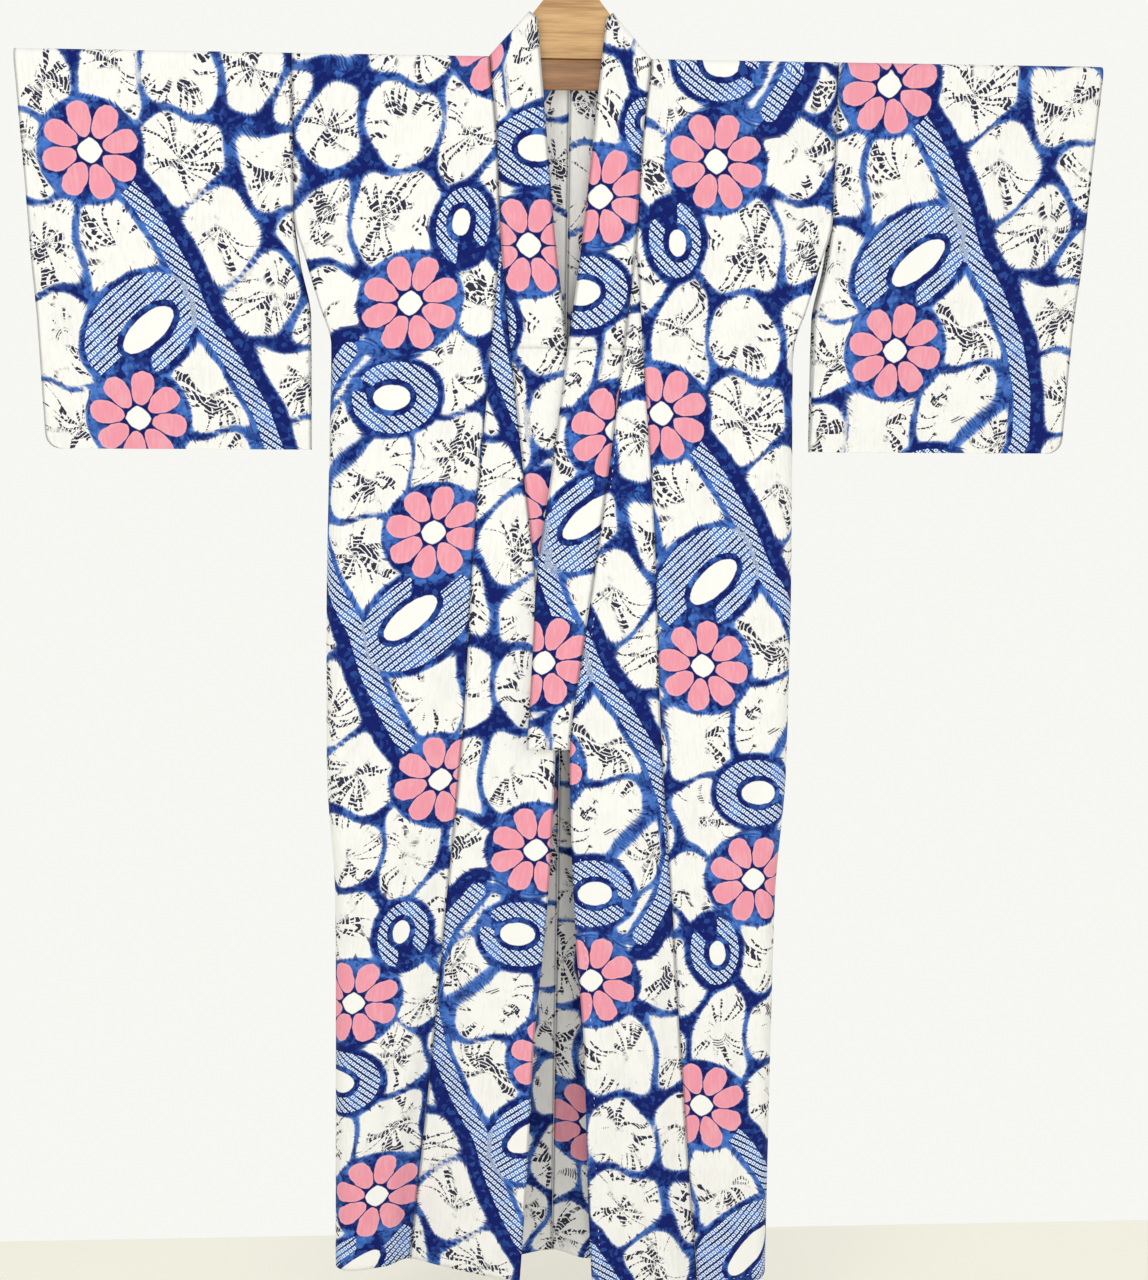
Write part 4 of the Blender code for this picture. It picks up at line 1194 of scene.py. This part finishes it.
def stitch_tree(material):
    """Geometry Nodes: one small stitch every so often along a seam line."""
    tree = bpy.data.node_groups.new("hand_stitches", "GeometryNodeTree")
    face = tree.interface
    face.new_socket("Geometry", in_out="INPUT", socket_type="NodeSocketGeometry")
    for name in STITCH_SIZES:
        face.new_socket(name, in_out="INPUT", socket_type="NodeSocketFloat")
    face.new_socket("Geometry", in_out="OUTPUT", socket_type="NodeSocketGeometry")
    nodes = tree.nodes
    given, made = nodes.new("NodeGroupInput"), nodes.new("NodeGroupOutput")
    line = nodes.new("GeometryNodeMeshToCurve")
    evenly = nodes.new("GeometryNodeResampleCurve")
    evenly.mode = "LENGTH"
    thread = nodes.new("GeometryNodeMeshCylinder")
    thread.inputs["Vertices"].default_value = 6
    places = nodes.new("GeometryNodeInstanceOnPoints")
    tangent = nodes.new("GeometryNodeInputTangent")
    aim = nodes.new("FunctionNodeAlignRotationToVector")
    uneven = nodes.new("FunctionNodeRandomValue")
    uneven.data_type = "FLOAT"
    uneven.inputs[2].default_value, uneven.inputs[3].default_value = STITCH_SCALES
    uneven.inputs["Seed"].default_value = STITCH_SEED
    real = nodes.new("GeometryNodeRealizeInstances")
    paint = nodes.new("GeometryNodeSetMaterial")
    paint.inputs["Material"].default_value = material
    links = (
        (given, "Geometry", line, "Mesh"),
        (line, "Curve", evenly, "Curve"),
        (given, "Stitch spacing", evenly, "Length"),
        (given, "Thread radius", thread, "Radius"),
        (given, "Stitch length", thread, "Depth"),
        (evenly, "Curve", places, "Points"),
        (thread, "Mesh", places, "Instance"),
        (tangent, "Tangent", aim, "Vector"),
        (aim, "Rotation", places, "Rotation"),
        (uneven, 1, places, "Scale"),
        (places, "Instances", real, "Geometry"),
        (real, "Geometry", paint, "Geometry"),
        (paint, "Geometry", made, "Geometry"),
    )
    for giver, output, taker, entry in links:
        tree.links.new(giver.outputs[output], taker.inputs[entry])
    return tree


def stitch_lines(grids):
    """Lines just outside the cloth where the hems and cuffs are sewn down by hand."""
    off = CLOTH_WALL / 2 + STITCH_LIFT
    raised = {name: points + off * grid_normals(points) for name, (points, _, _) in grids.items()}
    cuff = -1 - int(round(CUFF_HEM_WIDTH / GRID_STEP))
    lines = []
    for label in SIDES.values():
        lines += [raised[f"body_{label}"][row] for row in (HEM_ROW, BACK_HEM_ROW)]
    lines += [raised[f"okumi_{label}"][HEM_ROW] for label in SIDES.values()]
    lines += [raised[f"sleeve_{label}"][:, cuff] for label in SIDES.values()]
    lines += [raised[f"okumi_{label}"][:, HEM_ROW] for label in SIDES.values()]
    return lines


def make_stitches(grids, material):
    """Sew the hems: the lines, the stitches along them, then one plain mesh."""
    points, edges = [], []
    for line in stitch_lines(grids):
        start = len(points)
        points += [tuple(point) for point in line]
        edges += [(start + step, start + step + 1) for step in range(len(line) - 1)]
    mesh = bpy.data.meshes.new("hem_lines")
    mesh.from_pydata(points, edges, [])
    lines = add_object("hem_lines", mesh)
    sewing = lines.modifiers.new("sewing", "NODES")
    sewing.node_group = stitch_tree(material)
    for socket in sewing.node_group.interface.items_tree:
        if socket.name in STITCH_SIZES:
            sewing[socket.identifier] = STITCH_SIZES[socket.name]
    bpy.context.view_layer.update()
    shown = lines.evaluated_get(bpy.context.evaluated_depsgraph_get())
    sewn = bpy.data.meshes.new_from_object(shown)
    bpy.data.objects.remove(lines, do_unlink=True)
    stitches = add_object("hem_stitches", sewn)
    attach(stitches, "root")


def make_robe():
    """Make every cut piece of the robe, and its hem stitches."""
    cotton = dyed_cotton("dyed_cotton")
    collar_cotton = dyed_cotton("dyed_collar_cotton")
    kinds = {
        "body": ("body_panel", body_grid, (True, True)),
        "okumi": ("okumi", okumi_grid, (True, False)),
        "sleeve": ("sleeve", sleeve_grid, (False, False)),
    }
    grids = {}
    for side, label in SIDES.items():
        for kind, (node, make_grid, hems) in kinds.items():
            grid = make_grid(side)
            grids[f"{kind}_{label}"] = grid
            make_cloth(f"cloth_{kind}_{label}", f"{node}_{label}", grid, CLOTH_WALL, cotton,
                       hems)
    make_cloth("cloth_collar", "collar", collar_grid(COLLAR_END), COLLAR_WALL, collar_cotton,
               (True, True), COLLAR_FLOWERS)
    make_cloth("cloth_over_collar", "over_collar", collar_grid(OVER_COLLAR_END), OVER_COLLAR_WALL,
               collar_cotton, (True, True), COLLAR_FLOWERS,
               OVER_COLLAR_LIFT)
    make_stitches(grids, thread_material("sewing_thread"))


def finish_hanger():
    """Give the hanger's own pieces their wood and steel; the bar's darker wood is painted shade."""
    finishes = {
        # painted shade: the bar gets a darker copy of the board's wood
        "hanger_bar": plain_wood("bar_wood_painted_shade", SHADED_BAR_LIGHT, SHADED_BAR_DARK, ()),
        "hanger_board": plain_wood("board_wood", WOOD_LIGHT, WOOD_DARK, GLUE_LINES),
        "hanger_hook": drawn_steel("hook_steel"),
    }
    for node, material in finishes.items():
        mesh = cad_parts[node].data
        mesh.materials.clear()
        mesh.materials.append(material)


def make_floor():
    """A plain pale floor under the hem, which ends a little way behind the robe."""
    corners = [
        (-FLOOR_HALF_WIDTH, FLOOR_FRONT, FLOOR), (FLOOR_HALF_WIDTH, FLOOR_FRONT, FLOOR),
        (FLOOR_HALF_WIDTH, FLOOR_BACK, FLOOR), (-FLOOR_HALF_WIDTH, FLOOR_BACK, FLOOR),
    ]
    mesh = bpy.data.meshes.new("floor")
    mesh.from_pydata(corners, [], [(0, 1, 2, 3)])
    mesh.materials.append(plain_floor("floor_paint"))
    add_object("floor", mesh)


def make_light(name, place_at, aim, size, power):
    """A soft square light aimed at a point."""
    light = bpy.data.lights.new(name, "AREA")
    light.shape = "SQUARE"
    light.size = size
    light.energy = power
    lamp = add_object(name, light)
    lamp.visible_camera = False
    lamp.location = place_at
    heading = Vector(aim) - Vector(place_at)
    lamp.rotation_euler = heading.to_track_quat("-Z", "Y").to_euler()


def make_lights():
    """Soft light from three places in front and one behind, and a pale sky."""
    for name, (place_at, aim, size, power) in LIGHTS.items():
        make_light(name, place_at, aim, size, power)
    world = bpy.data.worlds.new("studio_sky")
    world.use_nodes = True
    sky = world.node_tree.nodes["Background"]
    sky.inputs["Color"].default_value = SKY
    sky.inputs["Strength"].default_value = SKY_STRENGTH
    bpy.context.scene.world = world
    bpy.context.scene.view_settings.view_transform = "Standard"


def make_camera():
    """A camera at the angle from which the robe is seen."""
    yaw, tilt, roll = (math.radians(angle) for angle in (CAMERA_YAW, CAMERA_TILT, CAMERA_ROLL))
    forward = Vector((math.sin(yaw) * math.cos(tilt), math.cos(yaw) * math.cos(tilt), -math.sin(tilt)))
    level = Vector((math.cos(yaw), -math.sin(yaw), 0.0))
    down = forward.cross(level)
    right = math.cos(roll) * level + math.sin(roll) * down
    up = math.sin(roll) * level - math.cos(roll) * down
    turn = Matrix((right, up, -forward)).transposed()
    lens = bpy.data.cameras.new("camera")
    lens.lens = CAMERA_LENS
    lens.sensor_width = PICTURE_WIDTH
    lens.sensor_fit = "HORIZONTAL"
    camera = add_object("camera", lens)
    camera.matrix_world = Matrix.Translation(CAMERA_PLACE) @ turn.to_4x4()
    bpy.context.scene.camera = camera


make_camera()
make_robe()
finish_hanger()
make_floor()
make_lights()
